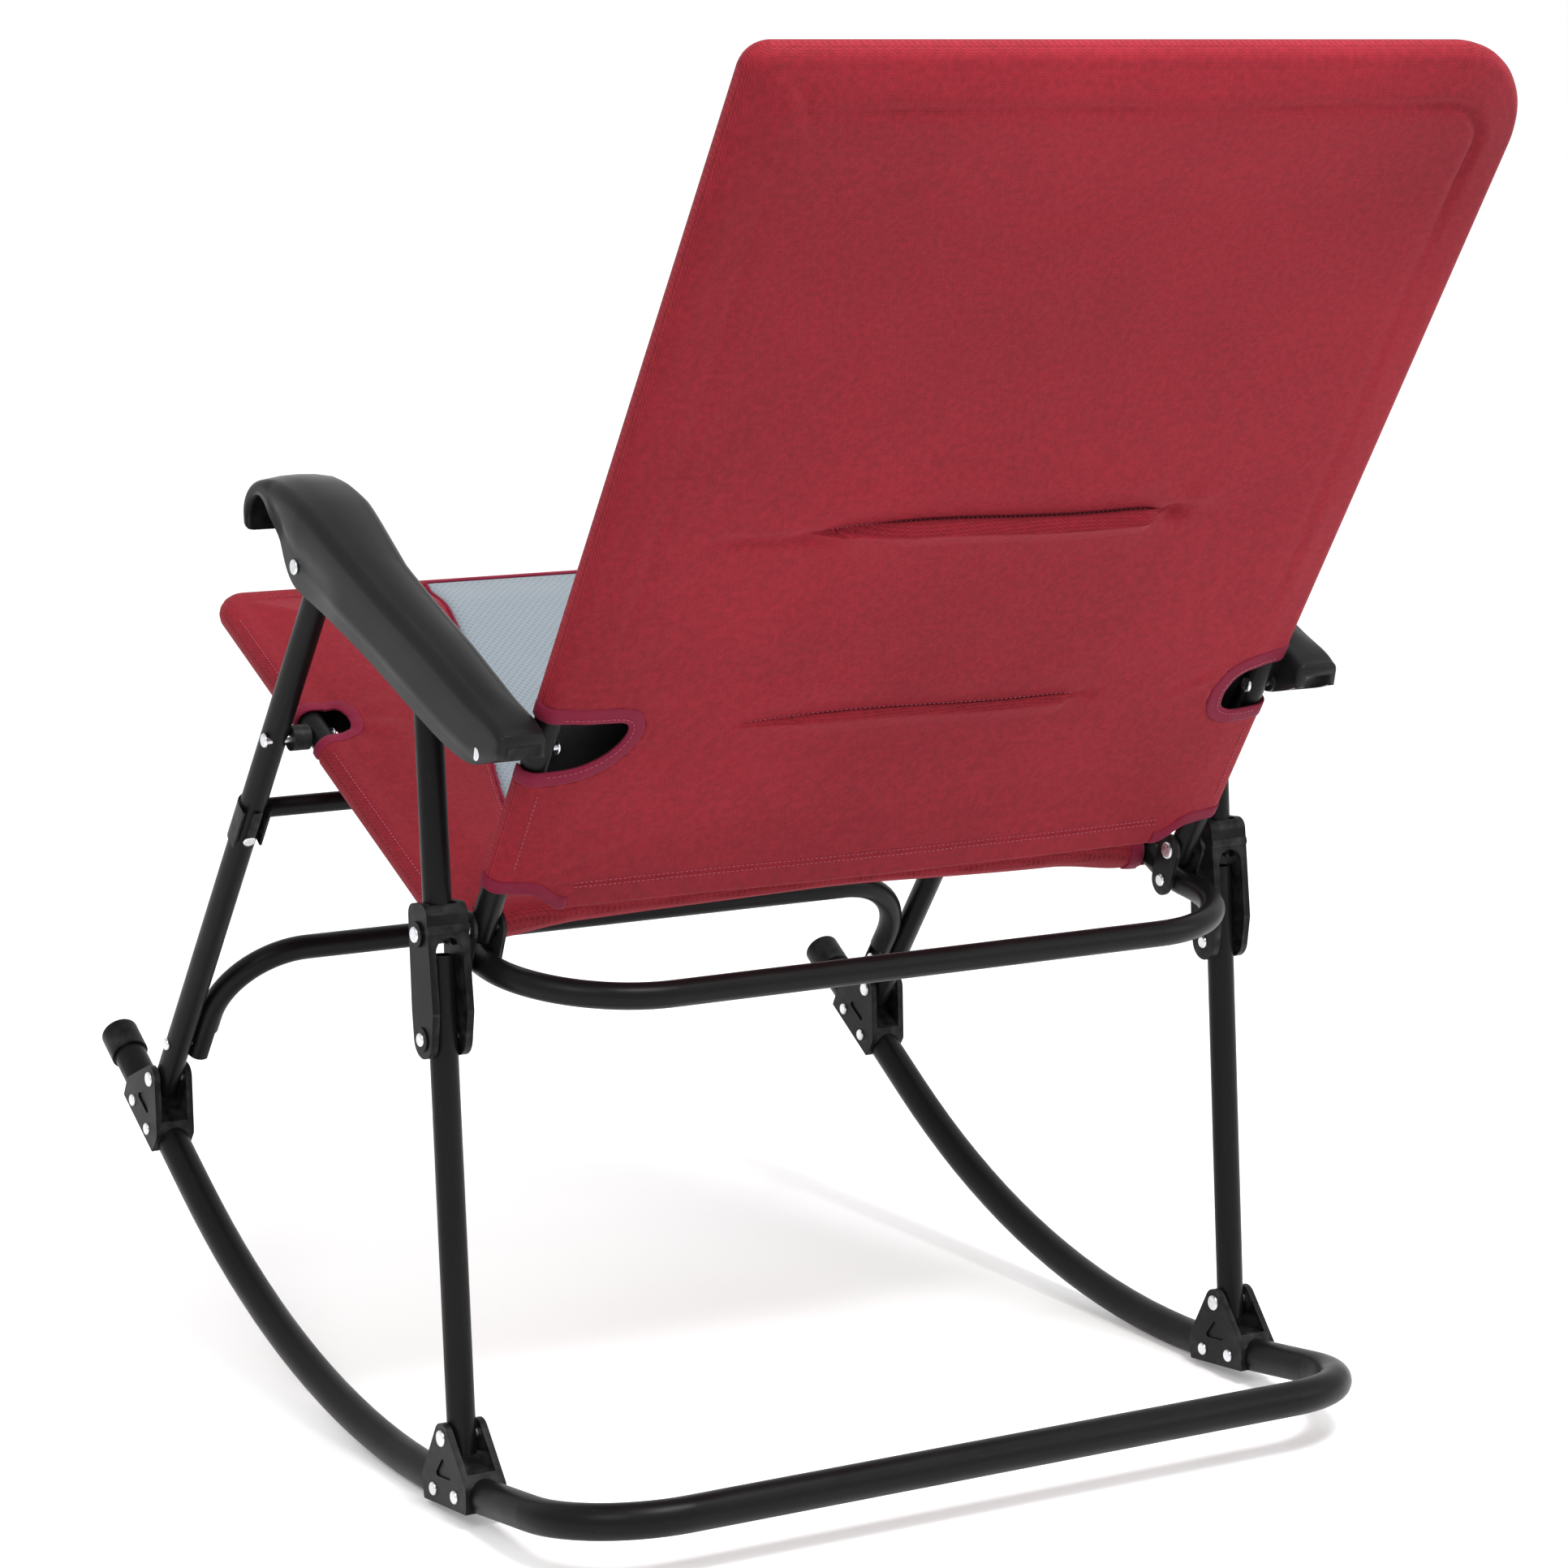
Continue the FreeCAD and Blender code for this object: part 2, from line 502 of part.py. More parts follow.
def make_seat():
    half_path = seat_frame_path()
    ring = sweep(half_path, FRAME_TUBE_R)
    bore = sweep(half_path, FRAME_TUBE_R - WALL)
    sleeve = sweep(half_path, FRAME_TUBE_R + TUBE_GAP)
    half_frame = ring.cut(bore)
    pin = rivet(SEAT_PIVOT, FRAME_X - FRAME_TUBE_R - 0.5, LEG_X, PIN_R - 1.0 + PIN_CLEARANCE, 5.6)
    seat_rivet = rivet(SEAT_RIVET, FRAME_X - PLATE_GAP - PLATE, FRAME_X + PLATE_GAP + PLATE)
    half_frame = half_frame.cut(pin).cut(seat_rivet)
    frame = half_frame.fuse(mirrored(half_frame)).removeSplitter()
    save("seat_frame", frame)

    plate = hull_of_circles_x([(SEAT_RIVET[0], SEAT_RIVET[1], 11.0), (MAIN_PIVOT[0], MAIN_PIVOT[1], 12.0)],
                              0.0, PLATE)
    bolt_end = FRAME_X + PLATE_GAP + PLATE
    bolt = rivet(MAIN_PIVOT, FRAME_X - PLATE_GAP - PLATE, bolt_end, PIN_R, 6.2)
    inner = placed(plate, 0.0, (0, 0), FRAME_X - PLATE_GAP - PLATE).cut(seat_rivet).cut(bolt)
    outer = placed(plate, 0.0, (0, 0), FRAME_X + PLATE_GAP).cut(seat_rivet).cut(bolt)
    save_pair("hinge_plate_inner", inner)
    save_pair("hinge_plate_outer", outer)
    save_both("hinge_plate_rivets", [seat_rivet])
    save_both("main_pivot_bolts", [bolt])

    cover_front = SEAT_LENGTH + FRAME_TUBE_R + 4.0
    cover = seat_slab(cover_front, SEAT_REAR_EDGE, COVER_HALF, SEAT_TOP, SEAT_UNDER, SEAT_CORNER_R)
    pivot_at = math.dist(SEAT_RIVET, SEAT_PIVOT)
    notch = Part.makeBox(NOTCH_DEPTH + 40.0, 2 * NOTCH_HALF, 80.0,
                         V(COVER_HALF - NOTCH_DEPTH, -pivot_at - NOTCH_HALF, -40.0))
    notch = placed(notch, SEAT_DEG - 180.0, SEAT_RIVET)
    panel = cheek_slab((PANEL_FRONT_X, PANEL_REAR_X), cover_front - SEAT_REAR_EDGE - 12.0,
                       SEAT_REAR_EDGE + 6.0, 30.0, SEAT_TOP - MESH_INSET)
    panel = placed(panel, SEAT_DEG - 180.0, SEAT_RIVET)
    cover = cover.cut(notch).cut(mirrored(notch)).cut(sleeve).cut(mirrored(sleeve)).cut(panel)
    save("seat_cover", cover)
    mesh = cheek_slab((PANEL_FRONT_X - 0.3, PANEL_REAR_X - 0.3), cover_front - SEAT_REAR_EDGE - 12.6,
                      SEAT_REAR_EDGE + 6.3, MESH_INSET - 0.4, SEAT_TOP - MESH_INSET + 0.3)
    save("seat_mesh_panel", placed(mesh, SEAT_DEG - 180.0, SEAT_RIVET))


# ---- back ---------------------------------------------------------------------------------
BACK_REAR = 11.0           # cover behind the frame's centre plane
BACK_FRONT = 22.0          # padding in front of it
BACK_LOW = 22.0            # bottom hem above the main pivot
BACK_SIDE_LOW = 39.0       # the hem rises to here where the posts come out
POST_NOTCH_X = 254.0       # and stays raised outside here
CUTOUT_LOW = 136.0         # side cut-outs round the armrest rivets, up the back from the pivot
CUTOUT_HIGH = 192.0
CUTOUT_X = 224.0           # inner end of each cut-out
CUTOUT_R = 20.0
POST_BELOW = 7.0           # post ends below the main pivot
SPACER_R = 6.0             # sleeves between the posts and the armrests
BACK_PANEL_LOW = 60.0      # lower edge of the mesh panel
BACK_BORDERS = 110.0       # fabric above and below the panel, together
CUT_THROUGH = 80.0         # cutters reach this far through the cover


def back_slab(half, low, high, front, rear):
    """Slab built with the back's plane as XZ, +Z up the back and +Y to the chair's rear."""
    slab = Part.makeBox(2 * half, front + rear, high - low, V(-half, -front, low))
    top = [e for e in slab.Edges
           if abs(e.Vertexes[0].Point.y - e.Vertexes[-1].Point.y) > 1.0 and e.CenterOfMass.z > high - 1.0]
    return slab.makeFillet(BACK_CORNER_R, top)


def make_back():
    lean = BACK_DEG - 90.0
    top = BACK_LENGTH
    points = [V(FRAME_X, 0, -POST_BELOW), V(FRAME_X, 0, top), V(-FRAME_X, 0, top), V(-FRAME_X, 0, -POST_BELOW)]
    frame = tube(points, [BACK_CORNER_R, BACK_CORNER_R], FRAME_TUBE_R)
    path = rounded_path(points, [BACK_CORNER_R, BACK_CORNER_R])
    sleeve = sweep(path, FRAME_TUBE_R + TUBE_GAP)
    bolt_hole = cross_rod((0, 0), FRAME_X - 20, FRAME_X + 20, PIN_R + PIN_CLEARANCE)
    arm_at = along((0.0, 0.0), heading_deg(MAIN_PIVOT, ARM_REAR) - lean, math.dist(MAIN_PIVOT, ARM_REAR))
    post_face = FRAME_X + FRAME_TUBE_R
    arm_rivet = rivet(arm_at, FRAME_X - FRAME_TUBE_R, ARM_REAR_OUTER, RIVET_R, 5.2)
    spacer = cross_rod(arm_at, post_face + 0.1, ARM_REAR_INNER - 0.3, SPACER_R).cut(arm_rivet)
    frame = frame.cut(bolt_hole).cut(mirrored(bolt_hole)).cut(arm_rivet).cut(mirrored(arm_rivet))
    save("back_frame", placed(frame, lean, MAIN_PIVOT))
    save_both("armrest_rear_rivets", [placed(arm_rivet, lean, MAIN_PIVOT)])
    save_both("armrest_washers", [placed(spacer, lean, MAIN_PIVOT)])

    high = top + FRAME_TUBE_R + 3.0
    cover = back_slab(COVER_HALF, BACK_LOW, high, BACK_FRONT, BACK_REAR)
    side = Part.makeBox(60.0, CUT_THROUGH, CUTOUT_HIGH - CUTOUT_LOW,
                        V(CUTOUT_X, -CUT_THROUGH / 2.0, CUTOUT_LOW))
    inner_edges = [e for e in side.Edges
                   if abs(e.Vertexes[0].Point.y - e.Vertexes[-1].Point.y) > 1.0
                   and e.CenterOfMass.x < CUTOUT_X + 1.0]
    side = side.makeFillet(CUTOUT_R, inner_edges)
    side = side.fuse(Part.makeBox(60.0, CUT_THROUGH, CUTOUT_HIGH - CUTOUT_LOW,
                                  V(CUTOUT_X + 30.0, -CUT_THROUGH / 2.0, CUTOUT_LOW)))
    foot = Part.makeBox(80.0, CUT_THROUGH, BACK_SIDE_LOW - BACK_LOW + 10.0,
                        V(POST_NOTCH_X, -CUT_THROUGH / 2.0, BACK_LOW - 10.0))
    panel = Part.makeBox(2 * PANEL_REAR_X, 30.0, top - BACK_BORDERS,
                         V(-PANEL_REAR_X, -BACK_FRONT - 30.0 + MESH_INSET, BACK_PANEL_LOW))
    for cutter in (side, foot, sleeve):
        cover = cover.cut(cutter).cut(mirrored(cutter))
    cover = cover.cut(panel)
    save("back_cover", placed(cover, lean, MAIN_PIVOT))
    mesh = Part.makeBox(2 * PANEL_REAR_X - 0.6, MESH_INSET - 0.4, top - BACK_BORDERS - 0.6,
                        V(-PANEL_REAR_X + 0.3, -BACK_FRONT + 0.1, BACK_PANEL_LOW + 0.3))
    save("back_mesh_panel", placed(mesh, lean, MAIN_PIVOT))


# ---- armrests -----------------------------------------------------------------------------
ARM_SKIRT_IN = 24.0        # seats of the front rivet's heads, either side of the leg's plane
ARM_SKIRT_OUT = 24.0
ARM_HALF = 28.0            # half width of the front of the armrest
ARM_REAR_INNER = 292.6     # inner and outer sides of the narrow rear part, x
ARM_REAR_OUTER = 326.0
ARM_WALL = 6.0             # side walls
ARM_FRONT_Y = -215.0       # the plan outline runs a little past both ends of the profile
ARM_REAR_Y = 162.0
ARM_TAPER_START = -120.0   # the inner side narrows from here
ARM_TAPER_END = -45.0      # to here
ARM_BEND_R = 60.0          # corners of the plan outline
ARM_EDGE_R = 4.5           # rounding of the long upper edges
ARM_CREST = (-111.5, 652.0)   # front end of the straight sloping top (y, z)
ARM_TOP_SLOPE = -0.437
ARM_EDGE_BAND = 22.0       # edges less than this below the top line are rounded
RIVET_SEAT_R = 7.0
ARM_HOLLOW = ((-178.0, 450.0), (-156.0, 610.0), (-136.0, 634.0), (-104.0, 640.0),
              (66.0, 562.0), (94.0, 450.0))   # side outline of the hollow, open below
PLENTY = 900.0             # longer than any cut or prism needs to be


def armrest_profile():
    """Side outline as (y, z) points with a corner radius each, front hook first."""
    return [((-192.5, 625.0), 3.0), ((-199.5, 639.5), 6.0), ((-174.0, 658.0), 16.0),
            (ARM_CREST, 34.0), ((35.0, 588.0), 220.0), ((151.0, 541.0), 9.0),
            ((158.0, 506.0), 6.0), ((107.0, 505.0), 20.0), ((35.0, 535.0), 60.0),
            ((-70.0, 579.0), 40.0), ((-132.0, 589.0), 14.0), ((-148.5, 623.0), 12.0),
            ((-174.0, 641.0), 8.0), ((-185.5, 628.0), 2.5)]


def plan_prism(inset):
    """Vertical prism with the armrest's outline seen from above: wide front, tapered rear."""
    inner, outer = LEG_X - ARM_HALF + inset, LEG_X + ARM_HALF - inset
    points = [V(inner, ARM_FRONT_Y, 0), V(outer, ARM_FRONT_Y, 0), V(outer, ARM_TAPER_START, 0),
              V(ARM_REAR_OUTER - inset, ARM_REAR_Y, 0), V(ARM_REAR_INNER + inset, ARM_REAR_Y, 0),
              V(ARM_REAR_INNER + inset, ARM_TAPER_END, 0), V(inner, ARM_TAPER_START, 0)]
    face = Part.Face(Part.makePolygon(points + [points[0]]))
    prism = face.extrude(V(0, 0, PLENTY))
    bends = [e for e in prism.Edges
             if abs(e.Length - PLENTY) < 0.1 and ARM_FRONT_Y < e.CenterOfMass.y < ARM_REAR_Y]
    return prism.makeFillet(ARM_BEND_R, bends)


def rounded_sides(arm):
    """Rounds the long edges where the top, lip and rear meet the two sides."""
    edges = []
    for edge in arm.Edges:
        middle = edge.valueAt((edge.FirstParameter + edge.LastParameter) / 2.0)
        along_x = abs(edge.tangentAt(edge.FirstParameter).x) > 0.9
        top_line = ARM_CREST[1] + (middle.y - ARM_CREST[0]) * ARM_TOP_SLOPE
        if not along_x and middle.z > top_line - ARM_EDGE_BAND:
            edges.append(edge)
    return arm.makeFillet(ARM_EDGE_R, edges)


def make_armrests():
    corners = armrest_profile()
    slab = rounded_prism_x([p for p, _ in corners], [r for _, r in corners],
                           LEG_X - ARM_HALF - 1.0, LEG_X + ARM_HALF + 1.0)
    arm = rounded_sides(slab.common(plan_prism(0.0)))
    reach = ARM_HALF + 5.0
    hollow = prism_x(list(ARM_HOLLOW), LEG_X - reach, LEG_X + reach)
    arm = arm.cut(hollow.common(plan_prism(ARM_WALL)))
    front_bore = cross_rod(ARM_FRONT, LEG_X - reach, LEG_X + reach, RIVET_R + PIN_CLEARANCE)
    front_seats = cross_rod(ARM_FRONT, LEG_X + ARM_SKIRT_OUT - 0.05, LEG_X + reach, RIVET_SEAT_R)
    front_seats = front_seats.fuse(cross_rod(ARM_FRONT, LEG_X - reach,
                                             LEG_X - ARM_SKIRT_IN + 0.05, RIVET_SEAT_R))
    rear_bore = cross_rod(ARM_REAR, LEG_X - reach, LEG_X + reach, RIVET_R + PIN_CLEARANCE)
    rear_seat = cross_rod(ARM_REAR, ARM_REAR_OUTER - 0.05, LEG_X + reach, RIVET_SEAT_R)
    for cutter in (front_bore, front_seats, rear_bore, rear_seat):
        arm = arm.cut(cutter)
    save_pair("armrest", arm)


make_rocker_base()
make_front_legs()
make_rear_legs()
make_seat()
make_back()
make_armrests()
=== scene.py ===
import json
import math

import bmesh
import bpy
import numpy as np
from mathutils import Matrix, Vector


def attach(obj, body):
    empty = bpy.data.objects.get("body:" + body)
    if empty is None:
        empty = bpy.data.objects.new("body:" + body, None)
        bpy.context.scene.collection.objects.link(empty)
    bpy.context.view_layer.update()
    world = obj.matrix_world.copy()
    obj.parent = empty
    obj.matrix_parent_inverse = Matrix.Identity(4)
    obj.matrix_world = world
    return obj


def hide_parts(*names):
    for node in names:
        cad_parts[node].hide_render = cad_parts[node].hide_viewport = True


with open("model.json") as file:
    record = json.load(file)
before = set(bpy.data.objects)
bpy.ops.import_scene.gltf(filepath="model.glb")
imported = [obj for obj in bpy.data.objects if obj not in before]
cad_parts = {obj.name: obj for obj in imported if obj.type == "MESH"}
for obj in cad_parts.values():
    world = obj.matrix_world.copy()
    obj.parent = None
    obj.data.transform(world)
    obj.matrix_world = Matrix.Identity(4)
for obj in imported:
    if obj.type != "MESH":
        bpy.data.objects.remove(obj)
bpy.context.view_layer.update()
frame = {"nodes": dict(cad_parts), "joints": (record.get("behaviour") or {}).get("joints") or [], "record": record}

MM = 0.001
SIDES = (("left", 1.0), ("right", -1.0))
JOINTS = {j["name"]: Vector(j["pos_m"]) for j in frame["joints"]}


# ---- planes of the seat and back, in which the covers are drawn -----------------------------
class Plane:
    """A flat frame in mm: u to the sitter's left, w along the piece, n out of its outer face."""

    def __init__(self, origin, w, n):
        self.origin = np.array(origin) / MM
        self.u = np.array([1.0, 0.0, 0.0])
        self.w = np.array(w, float)
        self.n = np.array(n, float)

    def at(self, points):
        points = np.asarray(points, float)
        out = (self.origin + points[:, :1] * self.u + points[:, 1:2] * self.w
               + points[:, 2:3] * self.n)
        return out * MM


def slope(deg):
    a = math.radians(deg)
    return np.array([0.0, math.cos(a), math.sin(a)])


BACK_DEG = 59.0            # lean of the back above the horizontal
SEAT_RIVET_BACK, SEAT_RIVET_DROP = 0.0075, 0.023   # lower rivet from the main pivot, m
main_pivot = Vector((0.0, JOINTS["back_fold"].y, JOINTS["back_fold"].z))
seat_pivot = Vector((0.0, JOINTS["seat_fold"].y, JOINTS["seat_fold"].z))
seat_rivet = Vector((0.0, main_pivot.y - SEAT_RIVET_BACK, main_pivot.z - SEAT_RIVET_DROP))
seat_run = seat_pivot - seat_rivet
SEAT_DEG = math.degrees(math.atan2(seat_run.z, seat_run.y))
back_plane = Plane(main_pivot, slope(BACK_DEG), slope(BACK_DEG - 90.0))
seat_plane = Plane(seat_rivet, slope(SEAT_DEG), slope(SEAT_DEG - 90.0))

TUBE_X = 280.0             # frame tube centre line from the middle
WRAP = 11.0                # outside of the fabric from a frame tube's centre line
BACK_TOP = 665.0           # top tube's centre line from the main pivot
SEAT_FRONT = 434.0         # front tube's centre line from the hinge plate's rivet
SEAT_PIVOT_AT = seat_run.length / MM


# ---- materials ------------------------------------------------------------------------------
def material(name, base, rough=0.5, metal=0.0, spec=0.5, sheen=0.0, sheen_rough=0.4,
             sheen_tint=(1, 1, 1)):
    mat = bpy.data.materials.new(name)
    mat.use_nodes = True
    bsdf = mat.node_tree.nodes["Principled BSDF"]
    bsdf.inputs["Base Color"].default_value = (*base, 1)
    bsdf.inputs["Roughness"].default_value = rough
    bsdf.inputs["Metallic"].default_value = metal
    bsdf.inputs["Specular IOR Level"].default_value = spec
    bsdf.inputs["Sheen Weight"].default_value = sheen
    bsdf.inputs["Sheen Roughness"].default_value = sheen_rough
    bsdf.inputs["Sheen Tint"].default_value = (*sheen_tint, 1)
    return mat, bsdf


class Nodes:
    """Short calls for wiring shader nodes."""

    def __init__(self, mat, bsdf):
        self.tree = mat.node_tree
        self.bsdf = bsdf

    def add(self, kind, values=(), **props):
        node = self.tree.nodes.new(kind)
        for key, value in props.items():
            setattr(node, key, value)
        for key, value in dict(values).items():
            self.put(node, key, value)
        return node

    def put(self, node, key, value):
        socket = node.inputs[key]
        if isinstance(value, bpy.types.NodeSocket):
            self.tree.links.new(value, socket)
        else:
            socket.default_value = value

    def coords(self, turn_deg=0.0):
        texture = self.add("ShaderNodeTexCoord")
        mapping = self.add("ShaderNodeMapping", {"Vector": texture.outputs["Object"]})
        mapping.inputs["Rotation"].default_value = (math.radians(-turn_deg), 0.0, 0.0)
        return mapping.outputs["Vector"]

    def noise(self, vector, scale, detail=3.0, rough=0.5):
        return self.add("ShaderNodeTexNoise", {"Vector": vector, "Scale": scale, "Detail": detail,
                                               "Roughness": rough}).outputs["Fac"]

    def remap(self, value, lo, hi, a=0.0, b=1.0):
        return self.add("ShaderNodeMapRange", {"Value": value, "From Min": lo, "From Max": hi,
                                               "To Min": a, "To Max": b}).outputs["Result"]

    def mix(self, factor, a, b):
        node = self.add("ShaderNodeMix", data_type="RGBA")
        self.put(node, "Factor", factor)
        for index, value in ((6, a), (7, b)):
            if isinstance(value, bpy.types.NodeSocket):
                self.tree.links.new(value, node.inputs[index])
            else:
                node.inputs[index].default_value = (*value, 1)
        return node.outputs[2]

    def math(self, operation, a, b=0.0):
        node = self.add("ShaderNodeMath", operation=operation)
        self.put(node, 0, a)
        self.put(node, 1, b)
        return node.outputs[0]

    def bump(self, height, distance, strength):
        return self.add("ShaderNodeBump", {"Height": height, "Distance": distance,
                                           "Strength": strength}).outputs["Normal"]

    def use(self, **sockets):
        names = {"color": "Base Color", "rough": "Roughness", "normal": "Normal"}
        for key, value in sockets.items():
            self.put(self.bsdf, names[key], value)


def coated_tube():
    """Matt black powder coat: fine orange peel, a few pale specks and a cloudy gloss."""
    mat, bsdf = material("tube_powder_coat", (0.0045, 0.0045, 0.005), 0.34, spec=0.12)
    n = Nodes(mat, bsdf)
    at = n.coords()
    cloudy = n.noise(at, 9.0)
    peel = n.noise(at, 900.0, 2.0)
    specks = n.remap(n.noise(at, 420.0, 1.0), 0.70, 0.76)
    base = n.mix(cloudy, (0.003, 0.003, 0.0034), (0.006, 0.006, 0.0065))
    n.use(color=n.mix(n.math("MULTIPLY", specks, 0.35), base, (0.02, 0.02, 0.02)),
          rough=n.remap(n.noise(at, 30.0), 0.3, 0.7, 0.30, 0.42),
          normal=n.bump(peel, 0.00006, 0.6))
    return mat


def moulded(name, base, rough, grain, worn):
    """Black moulded plastic with a fine grain, paler where an edge is worn."""
    mat, bsdf = material(name, base, rough, spec=0.11)
    n = Nodes(mat, bsdf)
    at = n.coords()
    fine = n.noise(at, grain, 2.0)
    broad = n.noise(at, 14.0)
    edge = n.add("ShaderNodeNewGeometry").outputs["Pointiness"]
    wear = n.math("MULTIPLY", n.remap(edge, 0.53, 0.60), n.remap(n.noise(at, 120.0), 0.35, 0.75))
    pale = tuple(min(1.0, c + worn) for c in base)
    dusty = n.mix(broad, tuple(c * 0.8 for c in base), tuple(c * 1.25 for c in base))
    n.use(color=n.mix(n.math("MULTIPLY", wear, 0.55), dusty, pale),
          rough=n.remap(broad, 0.3, 0.7, rough - 0.06, rough + 0.08),
          normal=n.bump(fine, 0.00005, 0.55))
    return mat


def zinc_steel():
    """Zinc-plated rivet heads, faintly blotched."""
    mat, bsdf = material("rivet_zinc", (0.72, 0.73, 0.75), 0.3, metal=1.0)
    n = Nodes(mat, bsdf)
    at = n.coords()
    n.use(color=n.mix(n.noise(at, 160.0), (0.52, 0.53, 0.55), (0.82, 0.83, 0.85)),
          rough=n.remap(n.noise(at, 700.0), 0.3, 0.7, 0.2, 0.42),
          normal=n.bump(n.noise(at, 500.0), 0.00004, 0.6))
    return mat


THREAD_PITCH = 0.0011      # between neighbouring threads of the weave, m
THREAD_DEPTH = 0.00018
MESH_PITCH = 0.0058        # between neighbouring holes of the knitted mesh, m


def woven(name, dark, light, turn_deg, sheen=0.10, tint=(1, 0.35, 0.42)):
    """Plain woven polyester: two sets of threads, over and under, with slubs and faint shading."""
    mat, bsdf = material(name, light, 0.72, spec=0.14, sheen=sheen, sheen_rough=0.45,
                         sheen_tint=tint)
    n = Nodes(mat, bsdf)
    at = n.coords(turn_deg)
    split = n.add("ShaderNodeSeparateXYZ", {"Vector": at})
    wobble = n.math("MULTIPLY", n.noise(at, 60.0, 2.0), 0.6)
    across = n.math("ADD", n.math("MULTIPLY", split.outputs["X"], math.pi / THREAD_PITCH), wobble)
    up = n.math("ADD", n.math("MULTIPLY", split.outputs["Z"], math.pi / THREAD_PITCH), wobble)
    warp = n.math("ABSOLUTE", n.math("SINE", across))
    weft = n.math("ABSOLUTE", n.math("SINE", up))
    turn = n.math("SINE", n.math("MULTIPLY", n.math("ADD", across, up), 0.5))
    over = n.remap(turn, -0.35, 0.35)
    height = n.math("ADD", n.math("MULTIPLY", warp, over),
                    n.math("MULTIPLY", weft, n.math("SUBTRACT", 1.0, over)))
    slub = n.remap(n.noise(at, 240.0, 2.0), 0.3, 0.7, -0.14, 0.14)
    shade = n.remap(n.noise(at, 5.0, 4.0), 0.3, 0.7, -0.16, 0.16)
    tone = n.math("ADD", n.math("MULTIPLY", height, 0.62), n.math("ADD", slub, shade))
    n.use(color=n.mix(n.remap(tone, -0.05, 0.85), dark, light),
          rough=n.remap(height, 0.0, 1.0, 0.86, 0.68),
          normal=n.bump(height, THREAD_DEPTH, 0.5))
    return mat


def spacer_mesh(name, turn_deg):
    """Padded knitted mesh: rows of small diamond holes in a pale grey-blue face."""
    mat, bsdf = material(name, (0.40, 0.45, 0.49), 0.8, spec=0.2, sheen=0.2, sheen_rough=0.5)
    n = Nodes(mat, bsdf)
    at = n.coords(turn_deg)
    split = n.add("ShaderNodeSeparateXYZ", {"Vector": at})
    a, b = (n.math("MULTIPLY", n.math(way, split.outputs["X"], split.outputs["Z"]),
                   math.pi / MESH_PITCH) for way in ("ADD", "SUBTRACT"))
    cell = n.math("MULTIPLY", n.math("ABSOLUTE", n.math("SINE", a)),
                  n.math("ABSOLUTE", n.math("SINE", b)))
    hole = n.remap(cell, 0.55, 0.88)
    knit = n.noise(at, 900.0, 2.0)
    shade = n.noise(at, 7.0, 3.0)
    face = n.mix(shade, (0.146, 0.172, 0.193), (0.198, 0.225, 0.248))
    face = n.mix(n.math("MULTIPLY", knit, 0.35), face, (0.25, 0.29, 0.33))
    height = n.math("SUBTRACT", n.math("MULTIPLY", knit, 0.15), hole)
    n.use(color=n.mix(n.math("MULTIPLY", hole, 0.75), face, (0.13, 0.16, 0.19)),
          rough=n.remap(knit, 0.3, 0.7, 0.74, 0.9), normal=n.bump(height, 0.0006, 0.6))
    return mat


def ribbed_tape(name):
    """Magenta binding tape with slanting ribs."""
    mat, bsdf = material(name, (0.15, 0.009, 0.034), 0.7, spec=0.12, sheen=0.03, sheen_rough=0.4)
    n = Nodes(mat, bsdf)
    at = n.coords()
    wave = n.add("ShaderNodeTexWave", {"Vector": at, "Scale": 420.0, "Distortion": 1.0},
                 bands_direction="DIAGONAL").outputs["Fac"]
    patch = n.noise(at, 45.0)
    n.use(color=n.mix(n.math("MULTIPLY", n.math("ADD", wave, patch), 0.5),
                      (0.075, 0.0035, 0.013), (0.215, 0.011, 0.038)),
          rough=n.remap(patch, 0.3, 0.7, 0.58, 0.75), normal=n.bump(wave, 0.00015, 0.6))
    return mat


def thread_material(name, base):
    """Twisted sewing thread."""
    mat, bsdf = material(name, base, 0.55, spec=0.4, sheen=0.3)
    n = Nodes(mat, bsdf)
    at = n.coords()
    twist = n.noise(at, 2600.0, 1.0)
    n.use(color=n.mix(twist, tuple(c * 0.6 for c in base), base), normal=n.bump(twist, 0.0001, 0.5))
    return mat


TUBE = coated_tube()
PLASTIC = moulded("moulded_black", (0.0036, 0.0036, 0.0038), 0.42, 1500.0, 0.04)
ARM_PLASTIC = moulded("armrest_black", (0.0078, 0.0078, 0.0083), 0.34, 1100.0, 0.02)
PLATE = moulded("plate_black", (0.0036, 0.0036, 0.004), 0.38, 900.0, 0.06)
ZINC = zinc_steel()
BACK_RED = ((0.111, 0.0043, 0.0085), (0.260, 0.0119, 0.0227))      # valleys and threads
# The seat's red is the back's red darkened by about a tenth: painted shade where the back shades the seat, on the
# same cloth.
SEAT_RED_PAINTED_SHADE = ((0.101, 0.0039, 0.0077), (0.236, 0.0108, 0.0206))
BLACK_CLOTH = ((0.006, 0.006, 0.0065), (0.02, 0.02, 0.022))
BACK_TURN, SEAT_TURN = BACK_DEG - 90.0, SEAT_DEG - 90.0
BACK_CLOTH = woven("cover_cloth_back", *BACK_RED, BACK_TURN)
# The seat's cloth is woven from that darker red, so the back's shade on the seat is painted into its colour.
SEAT_CLOTH = woven("cover_cloth_seat_painted_shade", *SEAT_RED_PAINTED_SHADE, SEAT_TURN)
LINING = woven("cover_lining", *BLACK_CLOTH, BACK_TURN, tint=(1, 1, 1))
BACK_MESH = spacer_mesh("mesh_panel_back", BACK_TURN)
SEAT_MESH = spacer_mesh("mesh_panel_seat", SEAT_TURN)
BINDING = ribbed_tape("binding_tape")
THREAD = thread_material("sewing_thread", (0.36, 0.03, 0.07))

